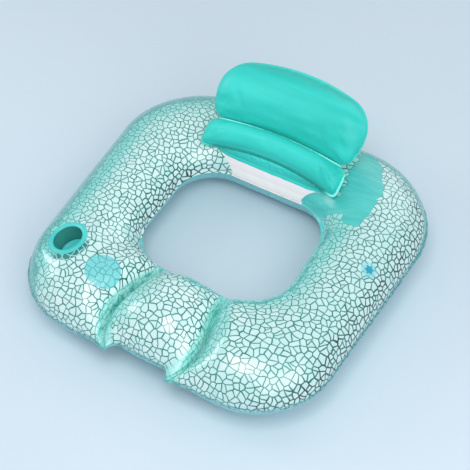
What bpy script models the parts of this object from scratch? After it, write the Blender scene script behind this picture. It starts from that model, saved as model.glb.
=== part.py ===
"""Inflatable pool chair: a rounded-square ring tube with a moulded cup, a reclined backrest and two air valves.

Metres, +Z up, +Y towards the backrest, +X to the sitter's left. The origin is on the floor under the middle
of the ring. Every air chamber is two films welded round their edge, so each film is an open surface that
Solidify gives its thickness, and the pieces that are bonded to a film are cut from a copy of its surface.
"""

import math

import bmesh
import bpy
import numpy as np
from mathutils import Matrix, Vector

# Ring outlines, seen from above: the outer and the inner weld line.
RING_FRONT_WIDTH = 0.950
RING_BACK_WIDTH = 1.098
RING_DEPTH = 1.018
RING_SETBACK = 0.0064
RING_FRONT_CORNER = 0.2325
RING_BACK_CORNER = 0.2817
HOLE_FRONT_WIDTH = 0.508
HOLE_BACK_WIDTH = 0.508
HOLE_DEPTH = 0.443
HOLE_SETBACK = 0.014
HOLE_FRONT_CORNER = 0.1425
HOLE_BACK_CORNER = 0.138
TUBE_HALF_HEIGHT = 0.1078
FLOOR_FLAT = 0.004

# Films, weld lips and the clearance between pieces that touch.
FILM = 0.0005
LIP = 0.006
GAP = 0.0003
OVERRUN = 0.004

# The two cross welds that part the front of the ring into three lobes.
CREASE_OUTER_HALF = 0.105
CREASE_INNER_HALF = 0.113
CREASE_BOW = 0.040
CREASE_BOW_POWER_SHARE = 1.8
WELD_BAR = 0.008
LOBE_RISE = 0.090
MIDDLE_RISE = 0.100
MIDDLE_SETBACK = 0.018
LOBE_REACH = 0.008
CREASE_REACH = 0.016
REACH_RUN = 0.032

# Stations round half of the ring: 0 front middle, 1 cross weld, 2 front corner, 3 side, 4 back corner, 5 back middle.
RIGHT_STATION_SHARES = (0, 0.3, 0.58, 0.8, 0.92, 1.05, 1.16, 1.32, 1.53, 1.76, 2, 2.2, 2.4, 2.58, 2.74, 2.88, 3,
                        3.1, 3.22, 3.38, 3.55, 3.72, 3.86, 4, 4.15, 4.32, 4.52, 4.76, 5)
LEFT_STATION_SHARES = (0.3, 0.58, 0.8, 0.92, 1.05, 1.16, 1.32, 1.5, 1.68, 1.85, 2, 2.14, 2.28, 2.42, 2.56, 2.72,
                       2.88, 3.05, 3.22, 3.38, 3.55, 3.72, 3.86, 4, 4.15, 4.32, 4.52, 4.76)
TOP_SECTION_ROWS = 13
BOTTOM_SECTION_ROWS = 11
SLOPE_STATION_SHARES = (3.6, 3.8, 4, 4.15, 4.3, 4.5, 4.75, 5)
SLOPE_STEPS = 60

# Cup in the arm on the sitter's right: its place on the top film, and its flange, wall and floor.
CUP_STATION_SHARE = 2.12
CUP_ROW_SHARE = 0.58
CUP_LEAN = math.radians(14)
CUP_LEAN_HEADING = math.radians(204)
CUP_MOUTH_RADIUS = 0.0505
CUP_FLOOR_RADIUS = 0.0440
CUP_DEPTH = 0.056
CUP_WALL = 0.0010
CUP_FLANGE_RADIUS = 0.0585
CUP_FLANGE_THICKNESS = 0.0008
CUP_SEAT_RADIUS = 0.070
CUP_SEAT_BLEND = 0.045
CUP_SEAT_DROP = 0.003
CUP_RIM = 0.0020

# Disc bonded under the top film of the same arm's front lobe.
DISC_STATION_SHARE = 1.36
DISC_ROW_SHARE = 0.49
DISC_RADIUS = 0.050
DISC_THICKNESS = 0.0005

# Panel and weld strip of the backrest on the ring's rear slope, from the hole's edge up.
PANEL_FOOT_HALF = 0.121
PANEL_TOP_HALF = 0.178
PANEL_FOOT_HEIGHT = 0.003
PANEL_RUN = 0.0175
PANEL_THICKNESS = 0.0005
STRIP_HALF = 0.190
STRIP_RUN = 0.004
STRIP_THICKNESS = 0.0006
TAIL_FOOT_HALF = 0.176
TAIL_CLEARANCE = 0.0013
TAIL_BILLOW = 0.006
TAIL_HEAD_CLEARANCE = 0.0012
TAIL_THICKNESS = 0.0006
TAIL_ROWS = 4

# Backrest: a lumbar roll and a pillow, each an inflated chamber on its own plane.
ROLL_FOOT_Y = 0.2315
ROLL_FOOT_Z = 0.2019
ROLL_RECLINE = math.radians(57)
ROLL_HEIGHT = 0.085
ROLL_HALF_WIDTH = 0.236
ROLL_FRONT_BULGE = 0.036
ROLL_REAR_BULGE = 0.024
ROLL_FOOT_BOW = 0.015
PILLOW_RECLINE = math.radians(48)
PILLOW_HEIGHT = 0.172
PILLOW_HALF_WIDTH = 0.250
PILLOW_FRONT_BULGE = 0.056
PILLOW_REAR_BULGE = 0.050
PILLOW_CROWN = 0.026
BACK_BOW = 0.031
BACK_LIP = 0.006
PILLOW_CORNER_POWER_SHARE = 2.7
ROLL_CORNER_POWER_SHARE = 2.5
BACK_COLUMNS = 12
BACK_END_STEPS = 8
BACK_RINGS = 6

# Air valves: a base welded to the film, a stem that slides in its sleeve, a check flap and a plug.
RING_VALVE_STATION_SHARE = 3.14
RING_VALVE_ROW_SHARE = 0.66
BACK_VALVE_SIDE = 0.110
BACK_VALVE_HEIGHT_SHARE = 0.42
VALVE_FLANGE_RADIUS = 0.019
VALVE_FLANGE_THICKNESS = 0.0008
SLEEVE_RADIUS = 0.0090
SLEEVE_WALL = 0.0010
SLEEVE_LENGTH = 0.030
SLEEVE_PROUD = 0.0010
STEM_WALL = 0.0018
STEM_LENGTH = 0.024
PLUG_LENGTH = 0.009
PLUG_HEAD_RADIUS = 0.0085
PLUG_HEAD_HEIGHT = 0.0022
PLUG_TAB_LENGTH = 0.008
PLUG_TAB_WIDTH = 0.007
PLUG_TAB_THICKNESS = 0.0012
FLAP_THICKNESS = 0.0006
FLAP_INSET = 0.0006
ROUND_STEPS = 24
CUP_STEPS = 40

MID_PLANE = TUBE_HALF_HEIGHT - FLOOR_FLAT + FILM + GAP / 2
FILM_HOLE_RADIUS = SLEEVE_RADIUS + GAP

for old in list(bpy.data.objects):
    bpy.data.objects.remove(old, do_unlink=True)
parts = bpy.data.collections.new("pool_chair")
cutters = bpy.data.collections.new("cutters")
for made in (parts, cutters):
    bpy.context.scene.collection.children.link(made)

PALETTE = {
    "printed_film": ((0.72, 0.92, 0.88, 1), 0.25),
    "clear_teal_film": ((0.18, 0.62, 0.62, 1), 0.25),
    "teal_vinyl": ((0.05, 0.66, 0.58, 1), 0.32),
    "cup_vinyl": ((0.10, 0.66, 0.62, 1), 0.30),
    "white_vinyl": ((0.88, 0.84, 0.80, 1), 0.40),
    "blue_valve": ((0.03, 0.36, 0.58, 1), 0.35),
}


def material(name):
    found = bpy.data.materials.get(name)
    if found is None:
        colour, roughness = PALETTE[name]
        found = bpy.data.materials.new(name)
        found.use_nodes = True
        shader = found.node_tree.nodes["Principled BSDF"]
        shader.inputs["Base Color"].default_value = colour
        shader.inputs["Roughness"].default_value = roughness
        shader.inputs["Metallic"].default_value = 0
        found.diffuse_color = colour
    return found


def add_object(name, mesh, look=None, parent=None):
    """Links a mesh as a part, or as a cutter where it has no look."""
    obj = bpy.data.objects.new(name, mesh)
    if look is None:
        cutters.objects.link(obj)
        obj.hide_render = True
        obj.display_type = "WIRE"
    else:
        parts.objects.link(obj)
        mesh.materials.append(material(look))
        mesh.shade_smooth()
        mesh.set_sharp_from_angle(angle=math.radians(40))
    if parent is not None:
        obj.parent = parent
        obj.matrix_parent_inverse = parent.matrix_world.inverted()
    return obj


def add_pivot(name, place, turn=None):
    pivot = bpy.data.objects.new(name, None)
    parts.objects.link(pivot)
    pivot.matrix_world = Matrix.Translation(place) @ (turn or Matrix()).to_4x4()
    bpy.context.view_layer.update()
    return pivot


def sheet_mesh(name, points, faces):
    mesh = bpy.data.meshes.new(name)
    mesh.from_pydata([tuple(map(float, p)) for p in points], [], faces)
    shape = bmesh.new()
    shape.from_mesh(mesh)
    bmesh.ops.remove_doubles(shape, verts=shape.verts, dist=GAP / 10)
    bmesh.ops.dissolve_degenerate(shape, edges=shape.edges, dist=GAP / 10)
    bmesh.ops.triangulate(shape, faces=shape.faces, quad_method="SHORT_EDGE")
    shape.to_mesh(mesh)
    shape.free()
    return mesh


def solidify(obj, start, thickness):
    """Thickens an open surface outwards along its normals, from start to start + thickness."""
    made = obj.modifiers.new("Film", "SOLIDIFY")
    made.thickness = thickness
    made.offset = 1 + 2 * start / thickness
    made.use_even_offset = True
    return made


def boolean(obj, cutter, operation="DIFFERENCE"):
    made = obj.modifiers.new(operation.title(), "BOOLEAN")
    made.operation = operation
    made.object = cutter
    made.solver = "EXACT"
    return made


def cylinder_mesh(name, radius, low, high, steps=ROUND_STEPS):
    """A cylinder along +Z of its object, from low to high."""
    mesh = bpy.data.meshes.new(name)
    shape = bmesh.new()
    bmesh.ops.create_cone(shape, cap_ends=True, segments=steps, radius1=radius, radius2=radius, depth=high - low,
                          matrix=Matrix.Translation((0, 0, (low + high) / 2)))
    shape.to_mesh(mesh)
    shape.free()
    return mesh


def box_mesh(name, low, high):
    mesh = bpy.data.meshes.new(name)
    shape = bmesh.new()
    size = [b - a for a, b in zip(low, high)]
    middle = [(a + b) / 2 for a, b in zip(low, high)]
    bmesh.ops.create_cube(shape, size=1, matrix=Matrix.Translation(middle) @ Matrix.Diagonal((*size, 1)))
    shape.to_mesh(mesh)
    shape.free()
    return mesh


def turned(name, profile, look, frame, parent=None, steps=ROUND_STEPS, cutter=False):
    """Turns a closed (radius, height) profile, listed down its outer side first, about +Z of a frame."""
    mesh = bpy.data.meshes.new(name)
    count = len(profile)
    mesh.from_pydata([(r, 0, z) for r, z in profile], [(k, (k + 1) % count) for k in range(count)], [])
    obj = add_object(name, mesh, None if cutter else look)
    screw = obj.modifiers.new("Turn", "SCREW")
    screw.steps = screw.render_steps = steps
    screw.use_merge_vertices = True
    screw.merge_threshold = GAP / 10
    screw.use_smooth_shade = False
    obj.matrix_world = frame
    if parent is not None:
        obj.parent = parent
        obj.matrix_parent_inverse = parent.matrix_world.inverted()
    return obj


# Ring outlines
ARC_STEPS = 24


def half_outline(front_half, back_half, front_y, back_y, front_radius, back_radius):
    """The +X half of a rounded trapezium from front middle to back middle, with the lengths at its five knots."""
    corners = [np.array(p) for p in ((0, front_y), (front_half, front_y), (back_half, back_y), (0, back_y))]
    path = [corners[0]]
    knots = [0]
    ends = []
    for k, radius in ((1, front_radius), (2, back_radius)):
        before, corner, after = corners[k - 1], corners[k], corners[k + 1]
        u = (before - corner) / np.linalg.norm(before - corner)
        w = (after - corner) / np.linalg.norm(after - corner)
        half = math.acos(u @ w) / 2
        start, end = corner + u * radius / math.tan(half), corner + w * radius / math.tan(half)
        centre = corner + (u + w) / np.linalg.norm(u + w) * radius / math.sin(half)
        first = math.atan2(*(start - centre)[::-1])
        last = math.atan2(*(end - centre)[::-1])
        angles = np.linspace(first, last + (2 * math.pi if last < first else 0), ARC_STEPS + 1)
        ends.append((start, [centre + radius * np.array((math.cos(a), math.sin(a))) for a in angles], end))
    path += ends[0][1]
    front_corner = len(path) - 1 - ARC_STEPS // 2
    path.append((ends[0][2] + ends[1][0]) / 2)
    side = len(path) - 1
    path += ends[1][1]
    back_corner = len(path) - 1 - ARC_STEPS // 2
    path.append(corners[3])
    path = np.array(path)
    lengths = np.concatenate([[0], np.cumsum(np.linalg.norm(np.diff(path, axis=0), axis=1))])
    knots = lengths[[0, front_corner, side, back_corner, len(path) - 1]]
    return path, lengths, knots


outer_path, outer_lengths, outer_knots = half_outline(
    RING_FRONT_WIDTH / 2, RING_BACK_WIDTH / 2, RING_SETBACK - RING_DEPTH / 2, RING_SETBACK + RING_DEPTH / 2,
    RING_FRONT_CORNER, RING_BACK_CORNER)
hole_middle = RING_SETBACK + HOLE_SETBACK
inner_path, inner_lengths, inner_knots = half_outline(
    HOLE_FRONT_WIDTH / 2, HOLE_BACK_WIDTH / 2, hole_middle - HOLE_DEPTH / 2, hole_middle + HOLE_DEPTH / 2,
    HOLE_FRONT_CORNER, HOLE_BACK_CORNER)
STATION_KNOTS = (0, 1, 2, 3, 4, 5)
outer_stations = np.insert(outer_knots, 1, CREASE_OUTER_HALF)
inner_stations = np.insert(inner_knots, 1, CREASE_INNER_HALF)


def at_length(path, lengths, length):
    return np.array([np.interp(length, lengths, path[:, 0]), np.interp(length, lengths, path[:, 1])])


def from_crease(station):
    """Distance along the tube from the nearer edge of the cross weld's bar."""
    mean = (outer_stations + inner_stations) / 2
    away = abs(np.interp(station, STATION_KNOTS, mean) - mean[1])
    return max(away - WELD_BAR / 2, 0)


def ring_point(station, side, row, top=1):
    """Point of the ring's inner film face: row 0 is the inner weld line and row 1 the outer one, side is +1 or -1."""
    outer = at_length(outer_path, outer_lengths, np.interp(station, STATION_KNOTS, outer_stations))
    inner = at_length(inner_path, inner_lengths, np.interp(station, STATION_KNOTS, inner_stations))
    away = from_crease(station)
    rise = MIDDLE_RISE if station < 1 else LOBE_RISE
    swell = math.sqrt(max(1 - (1 - min(away / rise, 1)) ** 2, 0))
    near = max(1 - away / REACH_RUN, 0) ** 2
    lobe_reach = LOBE_REACH * max(1 - max(station - 1, 0), 0)
    outer = outer + np.array((0, (MIDDLE_SETBACK if station < 1 else -lobe_reach) * (1 - near) - CREASE_REACH * near))
    angle = math.pi * row
    across = (1 - math.cos(angle)) / 2
    place = inner + (outer - inner) * across
    weight = station if station < 1 else max(2 - station, 0)
    place[0] += CREASE_BOW * weight * math.sin(math.pi * across ** CREASE_BOW_POWER_SHARE)
    height = TUBE_HALF_HEIGHT * swell * math.sin(angle)
    if top < 0:
        height = min(height, TUBE_HALF_HEIGHT - FLOOR_FLAT)
    return np.array((side * place[0], place[1], MID_PLANE + top * (GAP / 2 + height)))


def ring_frame(station, side, row, drop=0.0):
    """A frame on the top film: +Z is its outward normal, and its origin is lowered by drop."""
    step = 1e-3
    here = ring_point(station, side, row)
    along = ring_point(station + step, side, row) - ring_point(station - step, side, row)
    across = ring_point(station, side, row + step) - ring_point(station, side, row - step)
    normal = Vector(np.cross(along, across)).normalized()
    if normal.z < 0:
        normal = -normal
    turn = normal.to_track_quat("Z", "Y").to_matrix().to_4x4()
    return Matrix.Translation(Vector(here) - normal * drop) @ turn


cup_axis = Vector((math.sin(CUP_LEAN) * math.cos(CUP_LEAN_HEADING), math.sin(CUP_LEAN) * math.sin(CUP_LEAN_HEADING),
                   math.cos(CUP_LEAN)))
cup_frame = (Matrix.Translation(ring_frame(CUP_STATION_SHARE, -1, CUP_ROW_SHARE, CUP_SEAT_DROP).translation)
             @ cup_axis.to_track_quat("Z", "Y").to_matrix().to_4x4())
disc_frame = ring_frame(DISC_STATION_SHARE, -1, DISC_ROW_SHARE)
ring_valve_frame = ring_frame(RING_VALVE_STATION_SHARE, 1, RING_VALVE_ROW_SHARE)


def seated(point):
    """Draws the top film flat round the cup's flange."""
    axis = cup_frame.to_3x3().col[2]
    offset = Vector(point) - cup_frame.translation
    height = offset.dot(axis)
    radius = (offset - axis * height).length
    far = min(max((radius - CUP_SEAT_RADIUS) / CUP_SEAT_BLEND, 0), 1)
    weight = 1 - far * far * (3 - 2 * far)
    return Vector(point) - axis * height * weight


def ring_columns():
    right = [(s, 1) for s in RIGHT_STATION_SHARES]
    left = [(s, -1) for s in reversed(LEFT_STATION_SHARES)]
    return right + left


def ring_sheet(name, top, lips=True):
    """Grid of one film of the ring, with its lips along both weld lines."""
    columns = ring_columns()
    row_count = TOP_SECTION_ROWS if top > 0 else BOTTOM_SECTION_ROWS
    row_shares = [k / row_count for k in range(row_count + 1)]
    points = []
    for station, side in columns:
        line = [ring_point(station, side, share, top) for share in row_shares]
        if lips:
            first, last = line[0], line[-1]
            across = (last - first) * (1, 1, 0)
            across /= np.linalg.norm(across)
            line = [first - across * LIP] + line + [last + across * LIP]
        points += [seated(p) if top > 0 else Vector(p) for p in line]
    high = len(points) // len(columns)
    faces = []
    count = len(columns)
    for k in range(count):
        after = (k + 1) % count
        for j in range(high - 1):
            ring = (k * high + j, k * high + j + 1, after * high + j + 1, after * high + j)
            faces.append(ring if top > 0 else ring[::-1])
    return sheet_mesh(name, points, faces)


def facing(mesh, outward):
    """Turns the whole mesh over if its faces look the wrong way on average."""
    total = sum((p.normal.dot(outward(p.center)) * p.area for p in mesh.polygons))
    if total < 0:
        mesh.flip_normals()
    return mesh


def away_from_middle(top):
    return lambda place: Vector((0, 0, top))


# Ring films
top_film = add_object("ring_top_sheet", facing(ring_sheet("ring_top_sheet", 1), away_from_middle(1)), "printed_film")
solidify(top_film, 0, FILM)
bottom_film = add_object("ring_bottom_sheet", facing(ring_sheet("ring_bottom_sheet", -1), away_from_middle(-1)),
                         "clear_teal_film")
solidify(bottom_film, 0, FILM)


def ring_patch(name, look, start, thickness, cutter, parent=None):
    """A sheet that follows the top film at a set distance and is trimmed to a cutter."""
    obj = add_object(name, facing(ring_sheet(name, 1, lips=False), away_from_middle(1)), look, parent)
    solidify(obj, start, thickness)
    boolean(obj, cutter, "INTERSECT")
    return obj


def round_cutter(name, frame, radius, depth, steps=ROUND_STEPS):
    obj = add_object(name, cylinder_mesh(name, radius, -depth, depth, steps))
    obj.matrix_world = frame
    return obj


# Cup
cup_hole = round_cutter("cup_hole_cutter", cup_frame, CUP_MOUTH_RADIUS + CUP_WALL + GAP, CUP_RIM + CUP_SEAT_DROP * 2,
                        CUP_STEPS)
boolean(top_film, cup_hole)
cup_disc = round_cutter("cup_flange_cutter", cup_frame, CUP_FLANGE_RADIUS, CUP_RIM + CUP_SEAT_DROP * 2, CUP_STEPS)
flange = ring_patch("cup_flange", "cup_vinyl", FILM + GAP, CUP_FLANGE_THICKNESS, cup_disc)
boolean(flange, cup_hole)
cup_top = FILM + GAP + CUP_FLANGE_THICKNESS
taper = (CUP_MOUTH_RADIUS - CUP_FLOOR_RADIUS) / CUP_DEPTH
floor_top = cup_top - CUP_DEPTH - GAP
floor_low = floor_top - CUP_WALL
foot_radius = CUP_MOUTH_RADIUS - taper * (cup_top - floor_low)
turned("cup_wall", (
    (CUP_MOUTH_RADIUS + CUP_WALL, cup_top),
    (foot_radius + CUP_WALL, floor_low),
    (foot_radius, floor_low),
    (CUP_MOUTH_RADIUS, cup_top)), "cup_vinyl", cup_frame, steps=CUP_STEPS)
cup_floor = add_object("cup_floor", cylinder_mesh(
    "cup_floor", foot_radius - GAP, floor_low, floor_top, CUP_STEPS), "cup_vinyl")
cup_floor.matrix_world = cup_frame

# Disc under the top film
disc_cutter = round_cutter("disc_cutter", disc_frame, DISC_RADIUS, DISC_RADIUS / 2, CUP_STEPS)
ring_patch("lobe_disc", "cup_vinyl", -GAP - DISC_THICKNESS, DISC_THICKNESS, disc_cutter)


def slope_height(y, x=0.0):
    """Height over the mid plane of the ring's rear slope at a distance from its inner weld line, at x."""
    best = []
    for station in SLOPE_STATION_SHARES:
        line = [ring_point(station, 1, share) for share in np.linspace(0, 0.5, SLOPE_STEPS)]
        best.append((np.interp(y, [p[1] for p in line], [p[0] for p in line]),
                     np.interp(y, [p[1] for p in line], [p[2] for p in line])))
    best.sort()
    return np.interp(abs(x), [p[0] for p in best], [p[1] for p in best]) - MID_PLANE


def prism_cutter(name, foot_half, top_half, foot_z, near_y, far_y):
    """A wall across the rear slope with slanted ends, from near_y to far_y."""
    mesh = box_mesh(name, (-top_half, near_y, foot_z), (top_half, far_y, MID_PLANE + TUBE_HALF_HEIGHT))
    for vertex in mesh.vertices:
        half = foot_half if vertex.co.y < (near_y + far_y) / 2 else top_half
        vertex.co.x = math.copysign(half, vertex.co.x)
    return add_object(name, mesh)


# White panel and weld strip on the rear slope
slope_near = inner_path[-1][1]
panel_far = slope_near + PANEL_RUN
strip_near = panel_far + GAP
strip_far = strip_near + STRIP_RUN
panel_cutter = prism_cutter("rear_panel_cutter", PANEL_FOOT_HALF, PANEL_TOP_HALF, MID_PLANE + PANEL_FOOT_HEIGHT,
                            slope_near - LIP, panel_far)
ring_patch("rear_panel", "white_vinyl", FILM + GAP, PANEL_THICKNESS, panel_cutter)
strip_cutter = prism_cutter("weld_strip_cutter", STRIP_HALF, STRIP_HALF, MID_PLANE, strip_near, strip_far)
ring_patch("back_weld_strip", "teal_vinyl", FILM + GAP, STRIP_THICKNESS, strip_cutter)

hinge_y = strip_far + GAP
hinge_z = MID_PLANE + slope_height(hinge_y)
back = add_pivot("back_tilt_pivot", (0, hinge_y, hinge_z))


# Backrest chambers
def chamber_loop(half_width, height, power, crown):
    """Edge of a chamber on its own plane as (core point, edge point) pairs: x across, q up from the foot."""
    half = height / 2
    core = half_width - half
    pairs = []
    for k in range(BACK_COLUMNS + 1):
        x = -core + 2 * core * k / BACK_COLUMNS
        pairs.append(((x, half), (x, 0)))
    turns = []
    for k in range(1, BACK_END_STEPS):
        angle = math.pi * (k / BACK_END_STEPS - 0.5)
        turns.append((math.copysign(abs(math.cos(angle)) ** (2 / power), math.cos(angle)),
                      math.copysign(abs(math.sin(angle)) ** (2 / power), math.sin(angle))))
    pairs += [((core, half), (core + half * c, half + half * s)) for c, s in turns]
    pairs += [((x, half), (x, height)) for (x, _), _ in reversed(pairs[:BACK_COLUMNS + 1])]
    pairs += [((-core, half), (-core - half * c, half + half * s)) for c, s in reversed(turns)]
    lifted = []
    for (cx, cq), (x, q) in pairs:
        lift = crown * (1 - (x / half_width) ** 2) * max(q - half, 0) / half
        lifted.append((np.array((cx, cq)), np.array((x, q + lift))))
    return lifted


def back_place(x, q, depth, foot_y, foot_z, recline, half_width, foot_bow=0.0, height=1.0):
    """World point of a chamber: q up its reclined plane, depth towards the sitter, and the whole back bowed."""
    bow = (BACK_BOW + foot_bow * max(1 - q / height, 0)) * (1 - (x / half_width) ** 2)
    y = foot_y + q * math.sin(recline) - depth * math.cos(recline) + bow
    z = foot_z + q * math.cos(recline) + depth * math.sin(recline)
    return (x, y, z)


def chamber_sheet(name, half_width, height, power, crown, bulge, front, foot_y, foot_z, recline, foot_bow=0.0):
    """One film of a chamber: rings from its lip in to its core line, domed by the bulge."""
    loop = chamber_loop(half_width, height, power, crown)
    plane = (foot_y, foot_z, recline, half_width, foot_bow, height)
    count = len(loop)
    shift = GAP / 2 * front
    points = []
    shares = [math.cos(math.pi / 2 * k / BACK_RINGS) for k in range(BACK_RINGS)]
    outs = []
    for k in range(count):
        way = loop[(k + 1) % count][1] - loop[k - 1][1]
        outs.append(np.array((way[1], -way[0])) / np.linalg.norm(way))
    for k, (core, edge) in enumerate(loop):
        x, q = edge + outs[k] * BACK_LIP
        points.append(back_place(x, q, shift, *plane))
    for share in shares:
        for core, edge in loop:
            x, q = core + (edge - core) * share
            depth = shift + front * bulge * math.sqrt(1 - share ** 2)
            points.append(back_place(x, q, depth, *plane))
    faces = []
    for ring in range(BACK_RINGS):
        for k in range(count):
            after = (k + 1) % count
            faces.append((ring * count + k, ring * count + after, (ring + 1) * count + after, (ring + 1) * count + k))
    last = BACK_RINGS * count
    core_start = len(points)
    columns = BACK_COLUMNS + 1
    for core, _ in loop[:columns]:
        points.append(back_place(core[0], core[1], shift + front * bulge, *plane))
    span = BACK_END_STEPS - 1
    for k in range(BACK_COLUMNS):
        near, far = last + k, last + columns + span + (BACK_COLUMNS - k)
        faces.append((near, near + 1, core_start + k + 1, core_start + k))
        faces.append((far - 1, far, core_start + k, core_start + k + 1))
    ends = ((range(last + BACK_COLUMNS, last + BACK_COLUMNS + span + 1), core_start + BACK_COLUMNS),
            (range(last + 2 * columns + span - 1, last + 2 * columns + 2 * span), core_start))
    for spokes, hub in ends:
        for k in spokes:
            after = last + (k - last + 1) % count
            faces.append((k, after, hub))
    mesh = sheet_mesh(name, points, faces)
    outward = Vector((0, -front * math.cos(recline), front * math.sin(recline)))
    return facing(mesh, lambda place: outward)


roll = dict(half_width=ROLL_HALF_WIDTH, height=ROLL_HEIGHT, power=ROLL_CORNER_POWER_SHARE, crown=0,
            foot_y=ROLL_FOOT_Y, foot_z=ROLL_FOOT_Z, recline=ROLL_RECLINE, foot_bow=ROLL_FOOT_BOW)
weld_run = ROLL_HEIGHT + 2 * BACK_LIP + GAP
pillow = dict(half_width=PILLOW_HALF_WIDTH, height=PILLOW_HEIGHT, power=PILLOW_CORNER_POWER_SHARE, crown=PILLOW_CROWN,
              foot_y=ROLL_FOOT_Y + weld_run * math.sin(ROLL_RECLINE),
              foot_z=ROLL_FOOT_Z + weld_run * math.cos(ROLL_RECLINE), recline=PILLOW_RECLINE)
films = {}
for name, sizes, bulge, front in (
        ("roll_front_sheet", roll, ROLL_FRONT_BULGE, 1), ("roll_rear_sheet", roll, ROLL_REAR_BULGE, -1),
        ("pillow_front_sheet", pillow, PILLOW_FRONT_BULGE, 1), ("pillow_rear_sheet", pillow, PILLOW_REAR_BULGE, -1)):
    films[name] = add_object(name, chamber_sheet(name, bulge=bulge, front=front, **sizes), "teal_vinyl", back)
    solidify(films[name], 0, FILM)

# Tail: the free film between the weld strip and the roll's lip
tail_points = []
tail_top_half = ROLL_HALF_WIDTH - ROLL_HEIGHT / 2
for row in range(TAIL_ROWS + 1):
    rise = row / TAIL_ROWS
    for k in range(BACK_COLUMNS + 1):
        foot_x = TAIL_FOOT_HALF * (2 * k / BACK_COLUMNS - 1)
        top_x = tail_top_half * (2 * k / BACK_COLUMNS - 1)
        foot_y = hinge_y + TAIL_CLEARANCE
        foot = Vector((foot_x, foot_y, MID_PLANE + slope_height(foot_y, foot_x) + FILM + TAIL_CLEARANCE))
        head = Vector(back_place(top_x, -BACK_LIP - TAIL_HEAD_CLEARANCE, 0, ROLL_FOOT_Y, ROLL_FOOT_Z, ROLL_RECLINE,
                                 ROLL_HALF_WIDTH, ROLL_FOOT_BOW, ROLL_HEIGHT))
        billow = TAIL_BILLOW * math.sin(math.pi * rise)
        tail_points.append(foot.lerp(head, rise) + Vector((0, -billow / 2, billow)))
width = BACK_COLUMNS + 1
tail_faces = [(j * width + k, j * width + k + 1, (j + 1) * width + k + 1, (j + 1) * width + k)
              for j in range(TAIL_ROWS) for k in range(BACK_COLUMNS)]
tail = add_object("back_tail", facing(sheet_mesh("back_tail", tail_points, tail_faces), away_from_middle(1)),
                  "teal_vinyl", back)
solidify(tail, 0, TAIL_THICKNESS)


# Valves
def add_valve(prefix, frame, film, patch, parent):
    """Base, stem, check flap and plug of an air valve on a film, along +Z of a frame on the film's inner face."""
    top = FILM + GAP + VALVE_FLANGE_THICKNESS + SLEEVE_PROUD
    bore = SLEEVE_RADIUS - SLEEVE_WALL
    boolean(film, round_cutter(prefix + "_hole_cutter", frame, FILM_HOLE_RADIUS, SLEEVE_LENGTH / 3))
    boolean(patch, round_cutter(prefix + "_flange_cutter", frame, VALVE_FLANGE_RADIUS, SLEEVE_LENGTH / 3), "INTERSECT")
    sleeve = turned(prefix + "_sleeve_cutter", (
        (SLEEVE_RADIUS, top), (SLEEVE_RADIUS, top - SLEEVE_LENGTH), (bore / 2, top - SLEEVE_LENGTH), (bore / 2, top)),
        None, frame, cutter=True)
    boolean(patch, sleeve, "UNION")
    bore_cutter = add_object(prefix + "_bore_cutter", cylinder_mesh(
        prefix + "_bore_cutter", bore, top - SLEEVE_LENGTH - OVERRUN, top + OVERRUN))
    bore_cutter.matrix_world = frame
    boolean(patch, bore_cutter)
    stem_pivot = add_pivot(prefix + "_stem_slide", frame.translation, frame.to_3x3())
    if parent is not None:
        stem_pivot.parent = parent
        stem_pivot.matrix_parent_inverse = parent.matrix_world.inverted()
        bpy.context.view_layer.update()
    stem_radius = bore - GAP
    stem_bore = stem_radius - STEM_WALL
    turned(prefix + "_stem", (
        (stem_radius, top), (stem_radius, top - STEM_LENGTH), (stem_bore, top - STEM_LENGTH), (stem_bore, top)),
        "blue_valve", frame, stem_pivot)
    plug_radius = stem_bore - GAP
    head_foot = top + GAP
    plug = turned(prefix + "_plug", (
        (0, head_foot + PLUG_HEAD_HEIGHT), (PLUG_HEAD_RADIUS - PLUG_HEAD_HEIGHT / 2, head_foot + PLUG_HEAD_HEIGHT),
        (PLUG_HEAD_RADIUS, head_foot + PLUG_HEAD_HEIGHT / 2), (PLUG_HEAD_RADIUS, head_foot), (plug_radius, head_foot),
        (plug_radius * 0.9, top - PLUG_LENGTH), (0, top - PLUG_LENGTH)), "blue_valve", frame, stem_pivot)
    tab = add_object(prefix + "_tab_cutter", box_mesh(
        prefix + "_tab_cutter", (0, -PLUG_TAB_WIDTH / 2, head_foot),
        (PLUG_HEAD_RADIUS + PLUG_TAB_LENGTH, PLUG_TAB_WIDTH / 2, head_foot + PLUG_TAB_THICKNESS)))
    tab.matrix_world = frame
    boolean(plug, tab, "UNION")
    flap_radius = stem_radius - FLAP_INSET
    flap_top = top - STEM_LENGTH - GAP
    hinge = frame @ Matrix.Translation((-flap_radius, 0, flap_top))
    flap_pivot = add_pivot(prefix + "_flap_hinge", hinge.translation, frame.to_3x3())
    flap_pivot.parent = stem_pivot
    flap_pivot.matrix_parent_inverse = stem_pivot.matrix_world.inverted()
    bpy.context.view_layer.update()
    flap = add_object(prefix + "_flap", cylinder_mesh(prefix + "_flap", flap_radius, flap_top - FLAP_THICKNESS, flap_top),
                      "blue_valve")
    flap.matrix_world = frame
    flap.parent = flap_pivot
    flap.matrix_parent_inverse = flap_pivot.matrix_world.inverted()


valve_patch = add_object("ring_valve_base", facing(ring_sheet("ring_valve_base", 1, lips=False), away_from_middle(1)),
                         "blue_valve")
solidify(valve_patch, FILM + GAP, VALVE_FLANGE_THICKNESS)
add_valve("ring_valve", ring_valve_frame, top_film, valve_patch, None)

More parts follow.
